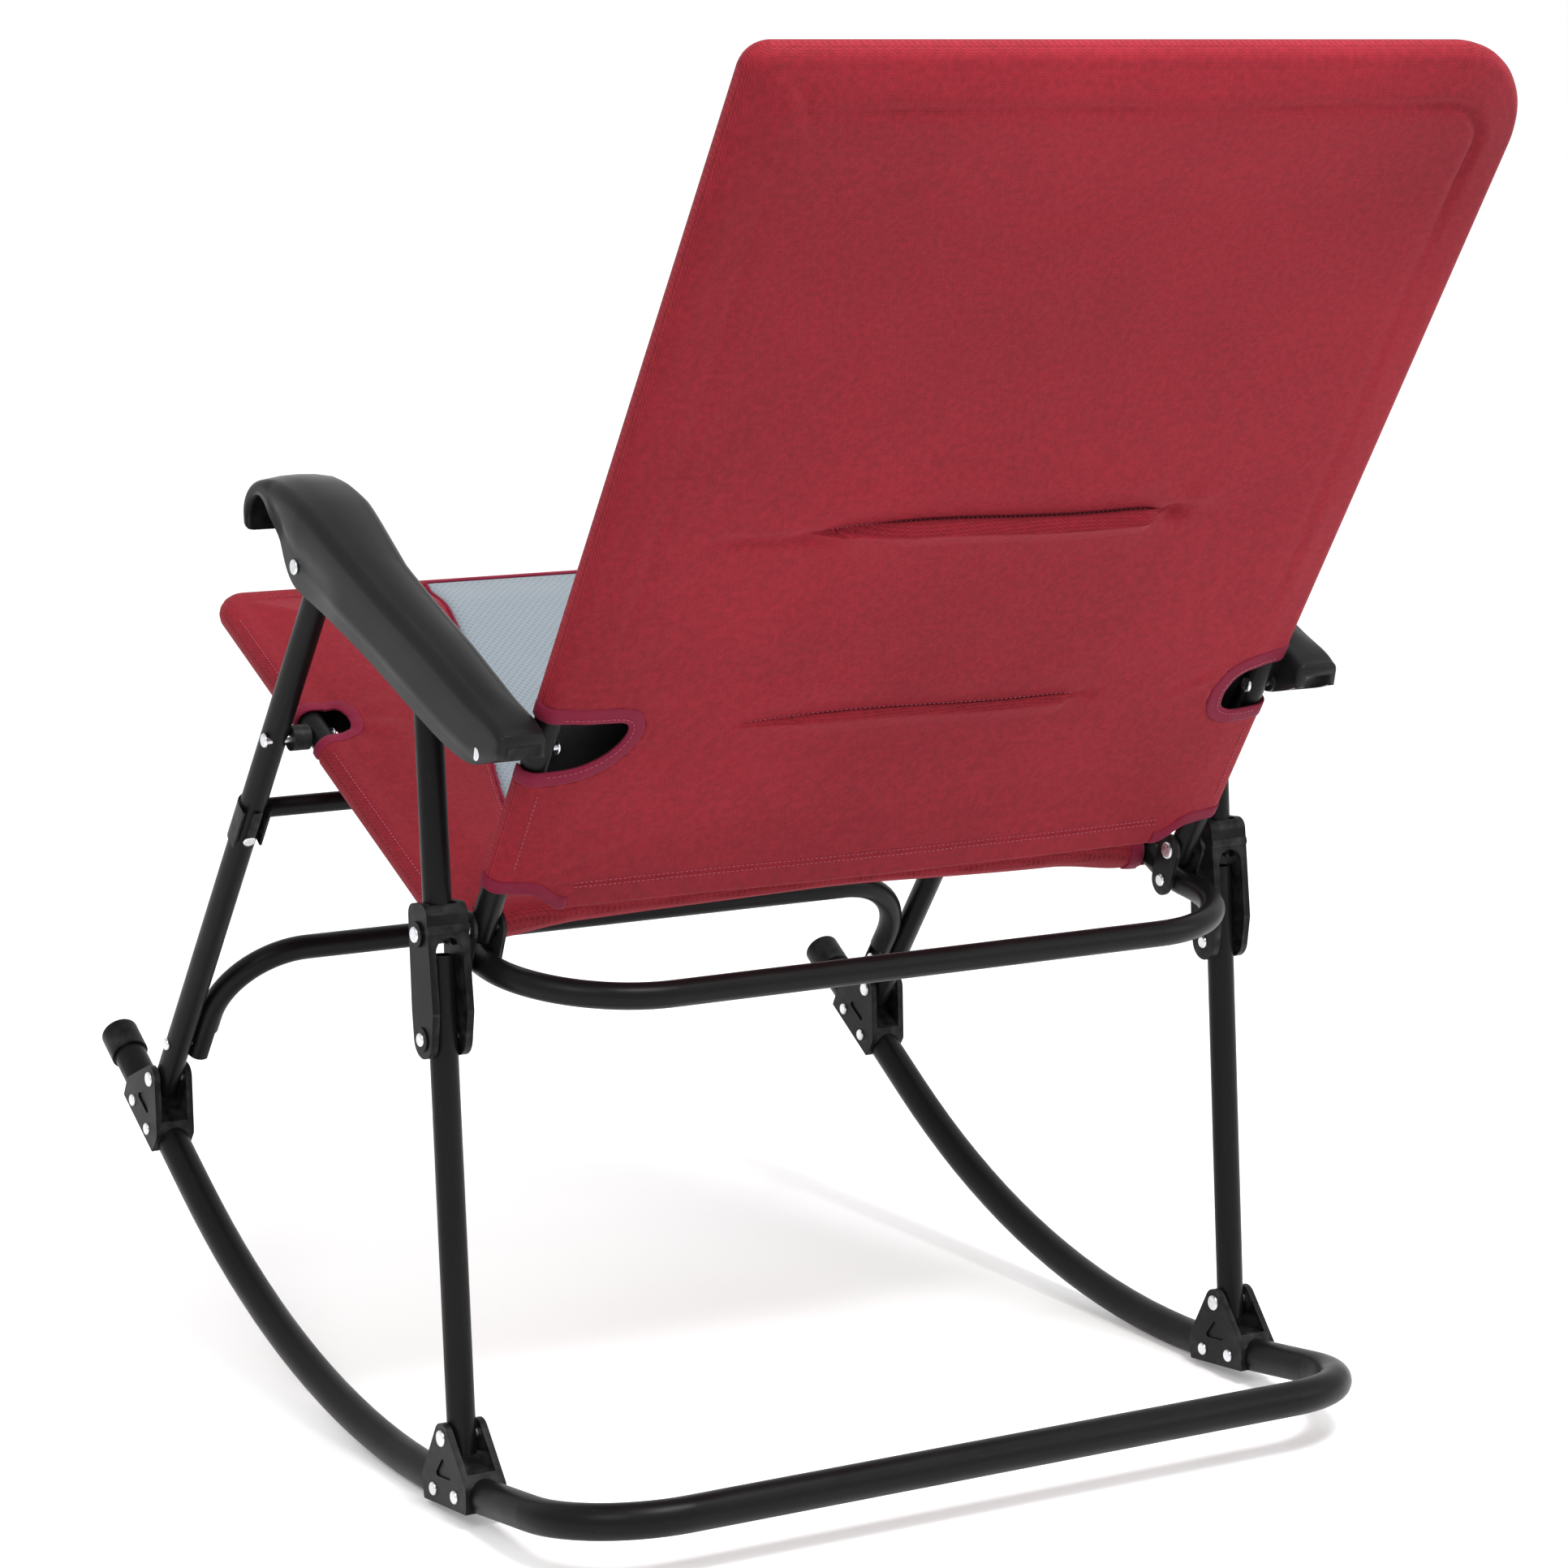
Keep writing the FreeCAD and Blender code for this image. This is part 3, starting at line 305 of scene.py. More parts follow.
FINISH = {"tube": TUBE, "plastic": PLASTIC, "plate": PLATE, "rivet": ZINC}
slots = {s["node"]: s["material_slot"] for s in frame["record"]["subparts"]}
for node, obj in frame["nodes"].items():
    if slots.get(node) in FINISH:
        obj.data.materials.clear()
        obj.data.materials.append(FINISH[slots[node]])


# ---- meshes ---------------------------------------------------------------------------------
def make_object(name, points, faces, mats, face_mats=None):
    """A smooth-shaded mesh object in the scene, from points in metres."""
    mesh = bpy.data.meshes.new(name)
    mesh.from_pydata([tuple(p) for p in points], [], [tuple(f) for f in faces])
    for mat in mats:
        mesh.materials.append(mat)
    if face_mats is not None:
        mesh.polygons.foreach_set("material_index", np.asarray(face_mats, np.int32))
    mesh.polygons.foreach_set("use_smooth", [True] * len(mesh.polygons))
    mesh.validate()
    obj = bpy.data.objects.new(name, mesh)
    bpy.context.scene.collection.objects.link(obj)
    return obj


def apply_modifiers(obj):
    deps = bpy.context.evaluated_depsgraph_get()
    mesh = bpy.data.meshes.new_from_object(obj.evaluated_get(deps))
    obj.modifiers.clear()
    obj.data = mesh


def thicken(obj, thickness, offset=-1.0, inner_mat=0):
    """Gives a sheet its thickness in mm, inwards unless offset says otherwise."""
    mod = obj.modifiers.new("thickness", "SOLIDIFY")
    mod.thickness = thickness * MM
    mod.offset = offset
    mod.use_rim = True
    mod.material_offset = inner_mat
    apply_modifiers(obj)


def smoothstep(x, lo, hi):
    """0 up to lo, 1 from hi on, and smooth between."""
    t = np.clip((np.asarray(x, float) - lo) / (hi - lo), 0.0, 1.0)
    return t * t * (3.0 - 2.0 * t)


def bell(x, at, width):
    """1 where x is at, falling away on both sides within about the width."""
    return np.exp(-((np.asarray(x, float) - at) / width) ** 2)


CYCLE = 6.28
WAVES = 7


def ripples(u, w, seed, scale):
    """Smooth undulation from a few sine waves with seeded headings."""
    rng = np.random.RandomState(seed)
    out = np.zeros_like(np.asarray(u, float))
    for _ in range(WAVES):
        heading = rng.uniform(0.0, math.pi)
        length = scale * rng.uniform(0.6, 1.7)
        phase = rng.uniform(0.0, CYCLE)
        along = u * math.cos(heading) + w * math.sin(heading)
        out += np.sin(along * CYCLE / length + phase)
    return out / WAVES


def spread(stops):
    """Coordinates from (start, step) stops; the last one gives only the end."""
    out = []
    for (a, step), (b, _) in zip(stops[:-1], stops[1:]):
        count = max(1, int(round(abs(b - a) / step)))
        out.extend(a + (b - a) * k / count for k in range(count))
    out.append(stops[-1][0])
    return np.array(out)


HEM_FADE = 90.0            # the hem's shaping dies away over this height
HEM_DROP_FADE = 60.0       # and the inner layer's extra length over this
INNER_RED = 40.0           # the inner layer's inside is cloth, not lining, this far above the hem
CLOTH_THICK = 1.3
WRAP_STEPS = 9
HAIR = 0.01


class Cover:
    """A sewn sleeve over a U of frame tube: an outer face, an inner face and the wrap between."""

    def __init__(self, plane, low, top, corners, outer, inner, edge=None, inner_drop=0.0):
        self.plane, self.low, self.top = plane, low, top
        # (side, corner radius of the centre line) at +u and at -u
        self.corners = ((1.0, corners[0]), (-1.0, corners[1]))
        self.outer, self.inner = outer, inner
        self.edge = edge or (lambda u: 0.0 * u)
        self.inner_drop = inner_drop      # the inner layer's hem hangs this much lower

    def warp(self, u, w):
        """Carries the square grid on to the U's rounded corners and the shaped hem."""
        u, w = np.array(u, float), np.array(w, float)
        nu, nw = u.copy(), w.copy()
        for side, r in self.corners:
            a = (side * u - (TUBE_X - r)) / r
            b = (w - (self.top - r)) / r
            corner = (a > 0) & (b > 0)
            x = a * np.sqrt(np.clip(1.0 - b * b / 2.0, 0, None))
            y = b * np.sqrt(np.clip(1.0 - a * a / 2.0, 0, None))
            nu = np.where(corner, side * (TUBE_X - r + x * r), nu)
            nw = np.where(corner, self.top - r + y * r, nw)
        fade = 1.0 - smoothstep(w, self.low, self.low + HEM_FADE)
        return nu, nw + self.edge(u) * fade

    def inset(self, u, w):
        """Distance from the tube's centre line inwards, before the hem's shaping."""
        best = np.minimum(TUBE_X - np.abs(u), self.top - w)
        for side, r in self.corners:
            a = side * u - (TUBE_X - r)
            b = w - (self.top - r)
            corner = (a > 0) & (b > 0)
            best = np.where(corner, r - np.hypot(np.maximum(a, 0), np.maximum(b, 0)), best)
        return np.maximum(best, 0.0)

    def face_point(self, u, w, lift=0.0, inner=False):
        """A point of the outer or inner face, lifted off it by some mm."""
        nu, nw = self.warp(u, w)
        if not inner:
            return np.stack([nu, nw, WRAP + self.outer(nu, nw) + lift], 1)
        nw = nw - self.inner_drop * (1.0 - smoothstep(w, self.low, self.low + HEM_DROP_FADE))
        return np.stack([nu, nw, -WRAP - self.inner(nu, nw) - lift], 1)

    def side_point(self, side, w, arc, lift=0.0):
        """A point on a straight side's wrap; arc is in mm of cloth from the outer face's edge."""
        w, arc = np.asarray(w, float), np.asarray(arc, float)
        r = WRAP + lift
        turn = arc / WRAP
        flat = np.maximum(0.0, arc - math.pi * WRAP)
        turn = np.minimum(turn, math.pi)
        u = side * (TUBE_X + r * np.sin(turn) - flat)
        fade = 1.0 - smoothstep(w, self.low, self.low + HEM_FADE)
        shaped = w + self.edge(np.full_like(w, side * TUBE_X)) * fade
        return np.stack([u, shaped, r * np.cos(turn)], 1)

    def cloth_point(self, x, w, lift=0.0):
        """A point by its distance x across the cloth from the middle, over the side wrap too."""
        x, w = np.asarray(x, float), np.asarray(w, float)
        side = np.where(x < 0, -1.0, 1.0)
        over = np.abs(x) - TUBE_X
        on_face = self.face_point(np.clip(x, -TUBE_X, TUBE_X), w, lift)
        on_side = self.side_point(side, w, np.maximum(over, 0.0), lift)
        return np.where((over > 0)[:, None], on_side, on_face)

    def outward(self, u, w):
        """Direction, in the plane, in which a point of the rim wraps round the tube."""
        side, r = self.corners[0] if u > 0 else self.corners[1]
        a, b = side * u - (TUBE_X - r), w - (self.top - r)
        if a > 0 and b > 0:
            length = math.hypot(a, b)
            return side * a / length, b / length
        if w >= self.top - HAIR and abs(u) < TUBE_X - HAIR:
            return 0.0, 1.0
        return side, 0.0

    def build(self, name, us, ws, cut, mats):
        """cut(x, w, layer) says where the cloth is cut away; layer is outer, wrap or inner."""
        cols, rows = len(us), len(ws)
        gu, gw = np.meshgrid(us, ws)
        gu, gw = gu.ravel(), gw.ravel()
        outer = self.face_point(gu, gw)
        inner = self.face_point(gu, gw, inner=True)
        rim = [r * cols for r in range(rows)] + [(rows - 1) * cols + c for c in range(1, cols)]
        rim += [r * cols + cols - 1 for r in range(rows - 2, -1, -1)]
        rim = np.array(rim)
        ru, rw = self.warp(gu[rim], gw[rim])
        du, dw = np.array([self.outward(u, w) for u, w in zip(ru, rw)]).T
        points = [outer, inner]
        rings = []
        base = 2 * cols * rows
        for step in range(1, WRAP_STEPS):
            turn = math.pi * step / WRAP_STEPS
            reach = WRAP * math.sin(turn)
            points.append(np.stack([ru + du * reach, rw + dw * reach,
                                    np.full(len(rim), WRAP * math.cos(turn))], 1))
            rings.append(np.arange(len(rim)) + base)
            base += len(rim)
        loops = [rim] + rings + [rim + cols * rows]
        faces, kinds = [], []
        for r in range(rows - 1):
            for c in range(cols - 1):
                x, w = (us[c] + us[c + 1]) / 2, (ws[r] + ws[r + 1]) / 2
                quad = (r * cols + c, r * cols + c + 1, (r + 1) * cols + c + 1, (r + 1) * cols + c)
                if not cut(x, w, "outer"):
                    faces.append(quad)
                    kinds.append(0)
                if not cut(x, w, "inner"):
                    faces.append(tuple(q + cols * rows for q in reversed(quad)))
                    kinds.append(2 if w < self.low + INNER_RED else 0)
        rim_u, rim_w = gu[rim], gw[rim]
        for ring, (first, second) in enumerate(zip(loops[:-1], loops[1:])):
            arc = math.pi * WRAP * (ring + 0.5) / WRAP_STEPS
            for k in range(len(rim) - 1):
                side = 1.0 if rim_u[k] + rim_u[k + 1] > 0 else -1.0
                edge_row = min(abs(rim_u[k]), abs(rim_u[k + 1])) > TUBE_X - HAIR
                w = (rim_w[k] + rim_w[k + 1]) / 2
                if edge_row and cut(side * (TUBE_X + arc), w, "wrap"):
                    continue
                faces.append((first[k], second[k], second[k + 1], first[k + 1]))
                kinds.append(0)
        obj = make_object(name, self.plane.at(np.concatenate(points)), faces, mats, kinds)
        clean(obj)
        thicken(obj, CLOTH_THICK, inner_mat=1)
        return obj


def clean(obj):
    """Drops loose points and makes the faces agree on which side is out."""
    bm = bmesh.new()
    bm.from_mesh(obj.data)
    bmesh.ops.delete(bm, geom=[v for v in bm.verts if not v.link_faces], context="VERTS")
    bmesh.ops.recalc_face_normals(bm, faces=bm.faces)
    bm.to_mesh(obj.data)
    bm.free()


def smooth_line(points, rounds=3):
    """A polyline with its corners cut, and cut again each round, keeping its two ends."""
    pts = np.array(points, float)
    for _ in range(rounds):
        a, b = pts[:-1], pts[1:]
        pairs = np.stack([a * 0.75 + b * 0.25, a * 0.25 + b * 0.75], 1).reshape(-1, 2)
        pts = np.concatenate([pts[:1], pairs, pts[-1:]])
    return pts


def resample(line, pitch):
    """The same line with points about a pitch apart."""
    seg = np.linalg.norm(np.diff(line, axis=0), axis=1)
    along = np.concatenate([[0], np.cumsum(seg)])
    count = max(2, int(round(along[-1] / pitch)) + 1)
    at = np.linspace(0, along[-1], count)
    return np.stack([np.interp(at, along, line[:, i]) for i in range(line.shape[1])], 1)


def normals_2d(line, flip):
    """Unit normals of a flat line, on its left where flip is 1."""
    t = np.gradient(line, axis=0)
    t /= np.linalg.norm(t, axis=1)[:, None] + 1e-9
    return np.stack([-t[:, 1], t[:, 0]], 1) * flip


def loft(name, lines, mats):
    """A closed tube through lines of points that run along it, capped at both ends."""
    lines = np.array(lines)
    count, length = lines.shape[:2]
    faces = []
    for i in range(count):
        j = (i + 1) % count
        for k in range(length - 1):
            faces.append((i * length + k, j * length + k, j * length + k + 1, i * length + k + 1))
    faces.append(tuple(i * length for i in range(count)))
    faces.append(tuple(i * length + length - 1 for i in reversed(range(count))))
    obj = make_object(name, lines.reshape(-1, 3), faces, mats)
    clean(obj)
    return obj


def grid_faces(rows, cols):
    """Quads of a sheet whose points are stored row by row."""
    return [(r * cols + c, r * cols + c + 1, (r + 1) * cols + c + 1, (r + 1) * cols + c)
            for r in range(rows - 1) for c in range(cols - 1)]


def tape(name, plane, point, line, toward, width=11.0):
    """Binding folded over a cut edge. line runs along the edge, toward points into the cloth."""
    line = resample(line, 2.5)
    out = normals_2d(line, toward)
    profile = [(width, -0.1), (width - 0.4, 0.75), (width * 0.5, 0.95), (1.2, 0.95), (-0.5, 0.55),
               (-1.0, -0.5), (-0.5, -1.7), (1.2, -2.2), (width - 1.5, -2.1), (width - 1.0, -1.2)]
    wave = 0.25 * np.sin(np.arange(len(line)) * 0.9) + 0.2 * np.sin(np.arange(len(line)) * 0.37)
    rows = []
    for reach, lift in profile:
        at = line + out * reach
        puffy = wave * 0.4 if lift > 0.5 else 0.0 * wave
        rows.append(plane.at(point(at[:, 0], at[:, 1], lift + puffy)))
    return loft(name, rows, [BINDING])


FULL_TURN = 6.2832


def stitches(name, runs):
    """Thread lying in short dashes along each run of 3-D points (metres) with its own normal."""
    length, gap, radius, ring = 2.4, 1.2, 0.32, 5
    points, faces = [], []
    for run, up in runs:
        run = resample(np.asarray(run, float) / MM, length + gap)
        for a, b in zip(run[:-1], run[1:]):
            d = b - a
            size = np.linalg.norm(d)
            if size < 1e-6:
                continue
            d = d / size
            side = np.cross(d, up)
            side /= np.linalg.norm(side) + 1e-9
            high = np.cross(side, d)
            start = len(points)
            for t, r, lift in ((0.0, 0.15, -0.1), (0.15, 1.0, 0.12), (0.5, 1.0, 0.3),
                               (0.85, 1.0, 0.12), (1.0, 0.15, -0.1)):
                centre = a + d * (t * length) + high * lift
                for k in range(ring):
                    ang = FULL_TURN * k / ring
                    points.append((centre + (side * math.cos(ang) + high * math.sin(ang))
                                   * radius * r) * MM)
            for s in range(4):
                for k in range(ring):
                    k2 = (k + 1) % ring
                    faces.append((start + s * ring + k, start + s * ring + k2,
                                  start + (s + 1) * ring + k2, start + (s + 1) * ring + k))
            faces.append(tuple(start + k for k in reversed(range(ring))))
            faces.append(tuple(start + 4 * ring + k for k in range(ring)))
    return make_object(name, points, faces, [THREAD])


def bead(name, points, radius):
    """A round bead of binding along 3-D points (metres)."""
    ring = 8
    pts = resample(np.asarray(points, float) / MM, 3.0)
    t = np.gradient(pts, axis=0)
    t /= np.linalg.norm(t, axis=1)[:, None]
    side = np.cross(t, np.array([0.0, 0.3, 1.0]))
    side /= np.linalg.norm(side, axis=1)[:, None]
    high = np.cross(side, t)
    lines = []
    for k in range(ring):
        ang = FULL_TURN * k / ring
        lines.append((pts + (side * math.cos(ang) + high * math.sin(ang)) * radius) * MM)
    return loft(name, lines, [BINDING])


# ---- back cover -----------------------------------------------------------------------------
UPPER_TUCK, LOWER_TUCK = 325.0, 171.0
BACK_HEM = 22.0
CUT_LOW, CUT_HIGH = 136.0, 192.0
BACK_PANEL = (60.0, 615.0)


def tuck_line(at, u):
    """The slightly wavy seam of the tuck that lies at this height."""
    return at + 1.5 * np.sin(u / 37.0)


def tuck(u, w, at, left, right, below, above, depth):
    """A sewn tuck: cloth bulges below the line and dives in above it, fading at its ends."""
    ends = smoothstep(u, right - 16, right + 22) * (1 - smoothstep(u, left - 22, left + 16))
    x = tuck_line(at, u) - w
    high = np.where(x > 0, below * np.exp(-np.abs(x) / 16.0), 0.0)
    low = np.where(x <= 0, -depth * np.exp(-np.abs(x) / 8.0) + above * bell(x, -24.0, 14.0), 0.0)
    return (high + low) * ends


def boxed_edge(u, w):
    """The face stands on a sloping band that runs round its top and sides, with a soft ridge."""
    inset = back_cover_map.inset(u, w)
    short = 1.0 - inset / 21.0
    full = 3.0 + 5.0 * smoothstep(w, 560.0, 640.0)
    return full * (1.0 - 0.5 * (short + np.sqrt(short * short + 0.02)))


def back_outer(u, w):
    """Relief of the rear face: border groove, tucks, puckers, pulls, pleats and hem."""
    inset = back_cover_map.inset(u, w)
    live = smoothstep(inset, 2.0, 18.0)
    high_up = smoothstep(w, 504.0, 617.0)
    uneven = 0.75 + 0.25 * np.sin(u / 61.0) + 0.2 * np.sin(u / 23.0)
    groove = -2.3 * bell(inset, 25.0, 3.8) * high_up * uneven
    groove = groove * (1.0 + 0.9 * smoothstep(-u, -40.0, 230.0))
    groove += -1.1 * bell(inset, 27.0, 6.0) * (1 - high_up) * smoothstep(w, 205, 280)
    belly = 1.6 * bell(w, 249.0, 66.0) * (1 - (u / 300.0) ** 2) - 1.4 * smoothstep(w, 354, 504)
    folds = tuck(u, w, UPPER_TUCK, 132.0, -122.0, 5.0, 2.2, 6.2)
    folds += tuck(u, w, LOWER_TUCK, 142.0, -114.0, 2.4, 1.4, 3.0)
    pucker = -5.6 * bell(u, -136.0, 10.0) * bell(w, UPPER_TUCK + 1, 6.0)
    pucker += 2.2 * bell(u, -152.0, 15.0) * bell(w, UPPER_TUCK + 13, 8.0)
    pucker += -2.0 * bell(u, -124.0, 8.0) * bell(w, LOWER_TUCK + 1, 5.0)
    pucker += -1.5 * bell(u, 144.0, 7.0) * bell(w, UPPER_TUCK - 1, 5.0)
    crease = -2.4 * bell(w - UPPER_TUCK - (u - 140) * 0.02, -3.0, 5.0)
    crease *= smoothstep(u, 112, 135) * (1 - smoothstep(u, 185, 232))
    pull = np.zeros_like(u)
    for u0, w0, heading, length in ((222, 172, 205, 70), (-232, 177, -25, 60), (250, 64, 160, 80),
                                    (-250, 64, 20, 80), (262, 600, 215, 60)):
        a = math.radians(heading)
        along = (u - u0) * math.cos(a) + (w - w0) * math.sin(a)
        off = -(u - u0) * math.sin(a) + (w - w0) * math.cos(a)
        wake = smoothstep(along, -4, 12) * (1 - smoothstep(along, 12, length))
        pull += 0.8 * wake * (bell(off, 0.0, 4.0) - 0.7 * bell(off, 9.0, 4.0))
    pleat = 0.0
    for turn_deg, size, sharp in ((32.0, 1.9, 3.0), (58.0, -1.8, 2.6)):
        a = math.radians(turn_deg)
        off = (u - 232.0) * math.sin(a) - (w - 618.0) * math.cos(a)
        along = (u - 232.0) * math.cos(a) + (w - 618.0) * math.sin(a)
        pleat = pleat + size * bell(off, 0.0, sharp) * smoothstep(along, 6, 34)
    soft = 0.75 * ripples(u, w, 3, 210.0) + 0.28 * ripples(u, w, 8, 62.0)
    hem_top = BACK_HEM + 22
    hem = 0.5 * (1 - smoothstep(w, hem_top - 3, hem_top)) - 0.35 * bell(w, hem_top, 1.6)
    face = groove + belly + folds + pucker + crease + pull + pleat + soft
    return live * face + hem * live + boxed_edge(u, w)


def back_inner(u, w):
    """Padding of the front face: crowned, with a groove along the mesh panel's seam."""
    inset = back_cover_map.inset(u, w)
    crown = 10.5 * smoothstep(inset, 4.0, 60.0)
    seam = -2.2 * bell(panel_edge(u, w), 0.0, 4.5)
    channels = 0.0
    for at in (UPPER_TUCK, LOWER_TUCK):
        channels = channels - 4.2 * bell(w, at, 9.0) * (1 - smoothstep(np.abs(u), 120, 150))
    return (crown + seam + channels + 0.5 * ripples(u, w, 5, 120.0) * smoothstep(inset, 10, 40))


def panel_half(w, low, high, wide, narrow):
    """Half width of a mesh panel whose sides sweep in between its ends."""
    t = np.clip((np.asarray(w, float) - low) / (high - low), 0, 1)
    return wide + (narrow - wide) * t - 16.0 * np.sin(t * math.pi)


def back_panel_half(w):
    return panel_half(w, *BACK_PANEL, 212.0, 190.0)


def panel_edge(u, w):
    return np.abs(u) - back_panel_half(w)


def back_hem(u):
    """Height of the hem above its lowest line: it rises where the posts come out."""
    return 15.0 * smoothstep(np.abs(u), 236.0, 262.0) + 3.0 * (1 - bell(u, 0.0, 190.0))


back_cover_map = Cover(back_plane, BACK_HEM, BACK_TOP, (7.0, 60.0), back_outer, back_inner,
                       back_hem, inner_drop=6.0)

CUT_LEFT = smooth_line([(300, 193), (246, 194), (226, 192), (217, 180), (219, 163), (232, 146),
                        (256, 134), (300, 129)])
CUT_RIGHT = smooth_line([(-300, 195), (-258, 193), (-240, 184), (-231, 163), (-234, 144),
                         (-246, 135), (-262, 133), (-300, 133)])


def inside(x, w, line):
    """True where (x, w) is in the area closed by the line and a straight side at its ends."""
    xs, ws = line[:, 0], line[:, 1]
    x2, w2 = np.roll(xs, -1), np.roll(ws, -1)
    crosses = (ws > w) != (w2 > w)
    at = (x2 - xs) * (w - ws) / np.where(w2 == ws, 1e-9, w2 - ws) + xs
    return bool(np.sum(crosses & (x < at)) % 2)


WIDE_LEFT = np.concatenate([CUT_LEFT, [(420, 129), (420, 193)]])
WIDE_RIGHT = np.concatenate([CUT_RIGHT, [(-420, 133), (-420, 195)]])


def back_cut(x, w, layer):
    if layer == "inner" or not (CUT_LOW - 12 < w < CUT_HIGH + 8) or abs(x) < 200:
        return False
    return inside(x, w, WIDE_LEFT if x > 0 else WIDE_RIGHT)


cols = spread([(-280, 1.6), (-272, 3.5), (-214, 4.5), (-150, 3.0), (-110, 5.6), (120, 3.0),
               (150, 4.5), (214, 3.5), (272, 1.6), (280, 1)])
rows = spread([(BACK_HEM, 2.0), (48, 5.2), (126, 2.6), (161, 1.5), (179, 2.6), (202, 6.2),
               (308, 1.8), (321, 1.0), (333, 1.5), (342, 6.6), (600, 3.6), (657, 1.6), (665, 1)])
back = back_cover_map.build("back_cover_cloth", cols, rows, back_cut,
                            [BACK_CLOTH, LINING, BACK_CLOTH, BACK_CLOTH])
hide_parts("back_cover")
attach(back, "back")


def back_bits():
    pieces = []
    for label, line, side in (("left", CUT_LEFT, 1.0), ("right", CUT_RIGHT, -1.0)):
        run = line[np.abs(line[:, 0]) < 298]
        run = np.concatenate([[(side * 300, run[0, 1])], run, [(side * 300, run[-1, 1])]])
        pieces.append(tape("back_cutout_binding_" + label, back_plane,
                           back_cover_map.cloth_point, run, side))
    low = np.stack([np.linspace(-300, 300, 200), np.full(200, BACK_HEM)], 1)
    for label, side in SIDES:
        part = low[side * low[:, 0] > 232]
        pieces.append(tape("back_post_binding_" + label, back_plane,
                           back_cover_map.cloth_point, part, 1.0, width=10.0))
    runs = []
    up = back_plane.n
    hem_u = np.linspace(-232, 232, 240)
    for rise in (18.0, 21.5):
        hem_w = np.full(len(hem_u), BACK_HEM + rise)
        runs.append((back_plane.at(back_cover_map.face_point(hem_u, hem_w, 0.1)), up))
    for at, left, right, drop in ((UPPER_TUCK, 128, -114, 2.6), (LOWER_TUCK, 140, -112, 2.4)):
        line_u = np.linspace(right, left, 160)
        line_w = tuck_line(at, line_u) + drop
        runs.append((back_plane.at(back_cover_map.face_point(line_u, line_w, 0.15)), up))
    for side in (1.0, -1.0):
        edge_w = np.linspace(BACK_HEM + 24.0, CUT_LOW - 12.0, 60)
        edge_x = np.full(60, side * (TUBE_X - 2.0))
        runs.append((back_plane.at(back_cover_map.cloth_point(edge_x, edge_w, 0.15)),
                     up + np.array([side * 0.3, 0.0, 0.0])))
    for line, toward in ((CUT_LEFT, 1.0), (CUT_RIGHT, -1.0)):
        dense = resample(line[np.abs(line[:, 0]) < 282], 2.0)
        edge = dense + normals_2d(dense, toward) * 7.4
        edge = edge[np.abs(edge[:, 0]) < 279]
        runs.append((back_plane.at(back_cover_map.cloth_point(edge[:, 0], edge[:, 1], 1.05)), up))
    pieces.append(stitches("back_stitching", runs))
    return pieces


def fold_lip(name, at, right, left, hang, proud):
    """The doubled cloth of a tuck, standing below its own seam and fading out at both ends."""
    us = np.linspace(right, left, 150)
    ends = smoothstep(us, right, right + 16) * (1 - smoothstep(us, left - 60, left))
    line = tuck_line(at, us)
    profile = [(17.0, -0.45), (13.0, 0.02), (9.0, 0.3), (5.0, 0.65), (1.5, 1.0), (-0.6, 0.95),
               (-1.0, 0.6), (-0.5, 0.1), (1.5, -0.3), (6.0, -0.9), (13.0, -1.3)]
    points = []
    for reach, lift in profile:
        down = reach if reach > 0 else reach * hang
        rise = (lift * proud * ends if lift > 0 else lift) - 1.2 * (1 - ends)
        across = line - down * (0.35 + 0.65 * ends)
        points.append(back_plane.at(back_cover_map.face_point(us, across, rise)))
    return loft(name, points, [BACK_CLOTH])


def mesh_sheet(name, cover_map, low, high, half, lift, mats, inner):
    """A separate sheet of mesh over a padded face, with its edge tucked into the seam."""
    rows, cols = 90, 64
    pts = []
    for w in np.linspace(low, high, rows):
        h = float(half(w))
        us = np.linspace(-h, h, cols)
        edge_gap = np.minimum(h - np.abs(us), min(w - low, high - w))
        rise = lift * smoothstep(edge_gap, 0.0, 5.0) - 0.7 * (1 - smoothstep(edge_gap, 0.0, 2.0))
        p = cover_map.face_point(us, np.full(cols, w), 0.0, inner)
        p[:, 2] += (-rise if inner else rise)
        pts.append(p)
    flat = cover_map.plane.at(np.concatenate(pts))
    obj = make_object(name, flat, grid_faces(rows, cols), mats)
    thicken(obj, 0.9, offset=0.0)
    return obj


def panel_outline(cover_map, low, high, half, inner, lift):
    """The seam round a mesh panel, in metres."""
    ws = np.linspace(low, high, 120)
    hs = np.array([float(half(w)) for w in ws])
    us = np.linspace(1, -1, 80)
    line = np.concatenate([np.stack([hs, ws], 1),
                           np.stack([us * hs[-1], np.full(80, high)], 1),
                           np.stack([-hs[::-1], ws[::-1]], 1),
                           np.stack([-us * hs[0], np.full(80, low)], 1)])
    p = cover_map.face_point(line[:, 0], line[:, 1], 0.0, inner)
    p[:, 2] += (-lift if inner else lift)
    return cover_map.plane.at(p)


back_mesh = mesh_sheet("back_mesh_sheet", back_cover_map, *BACK_PANEL, back_panel_half, 0.9,
                       [BACK_MESH], True)
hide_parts("back_mesh_panel")
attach(back_mesh, "back")
back_outline = panel_outline(back_cover_map, *BACK_PANEL, back_panel_half, True, 0.6)
back_piping = bead("back_mesh_seam", back_outline, 1.1)
tucks = [fold_lip("back_upper_tuck", UPPER_TUCK, -128.0, 122.0, 4.2, 4.6),
         fold_lip("back_lower_tuck", LOWER_TUCK, -118.0, 138.0, 1.8, 1.9)]
for piece in back_bits() + [back_piping] + tucks:
    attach(piece, "back")


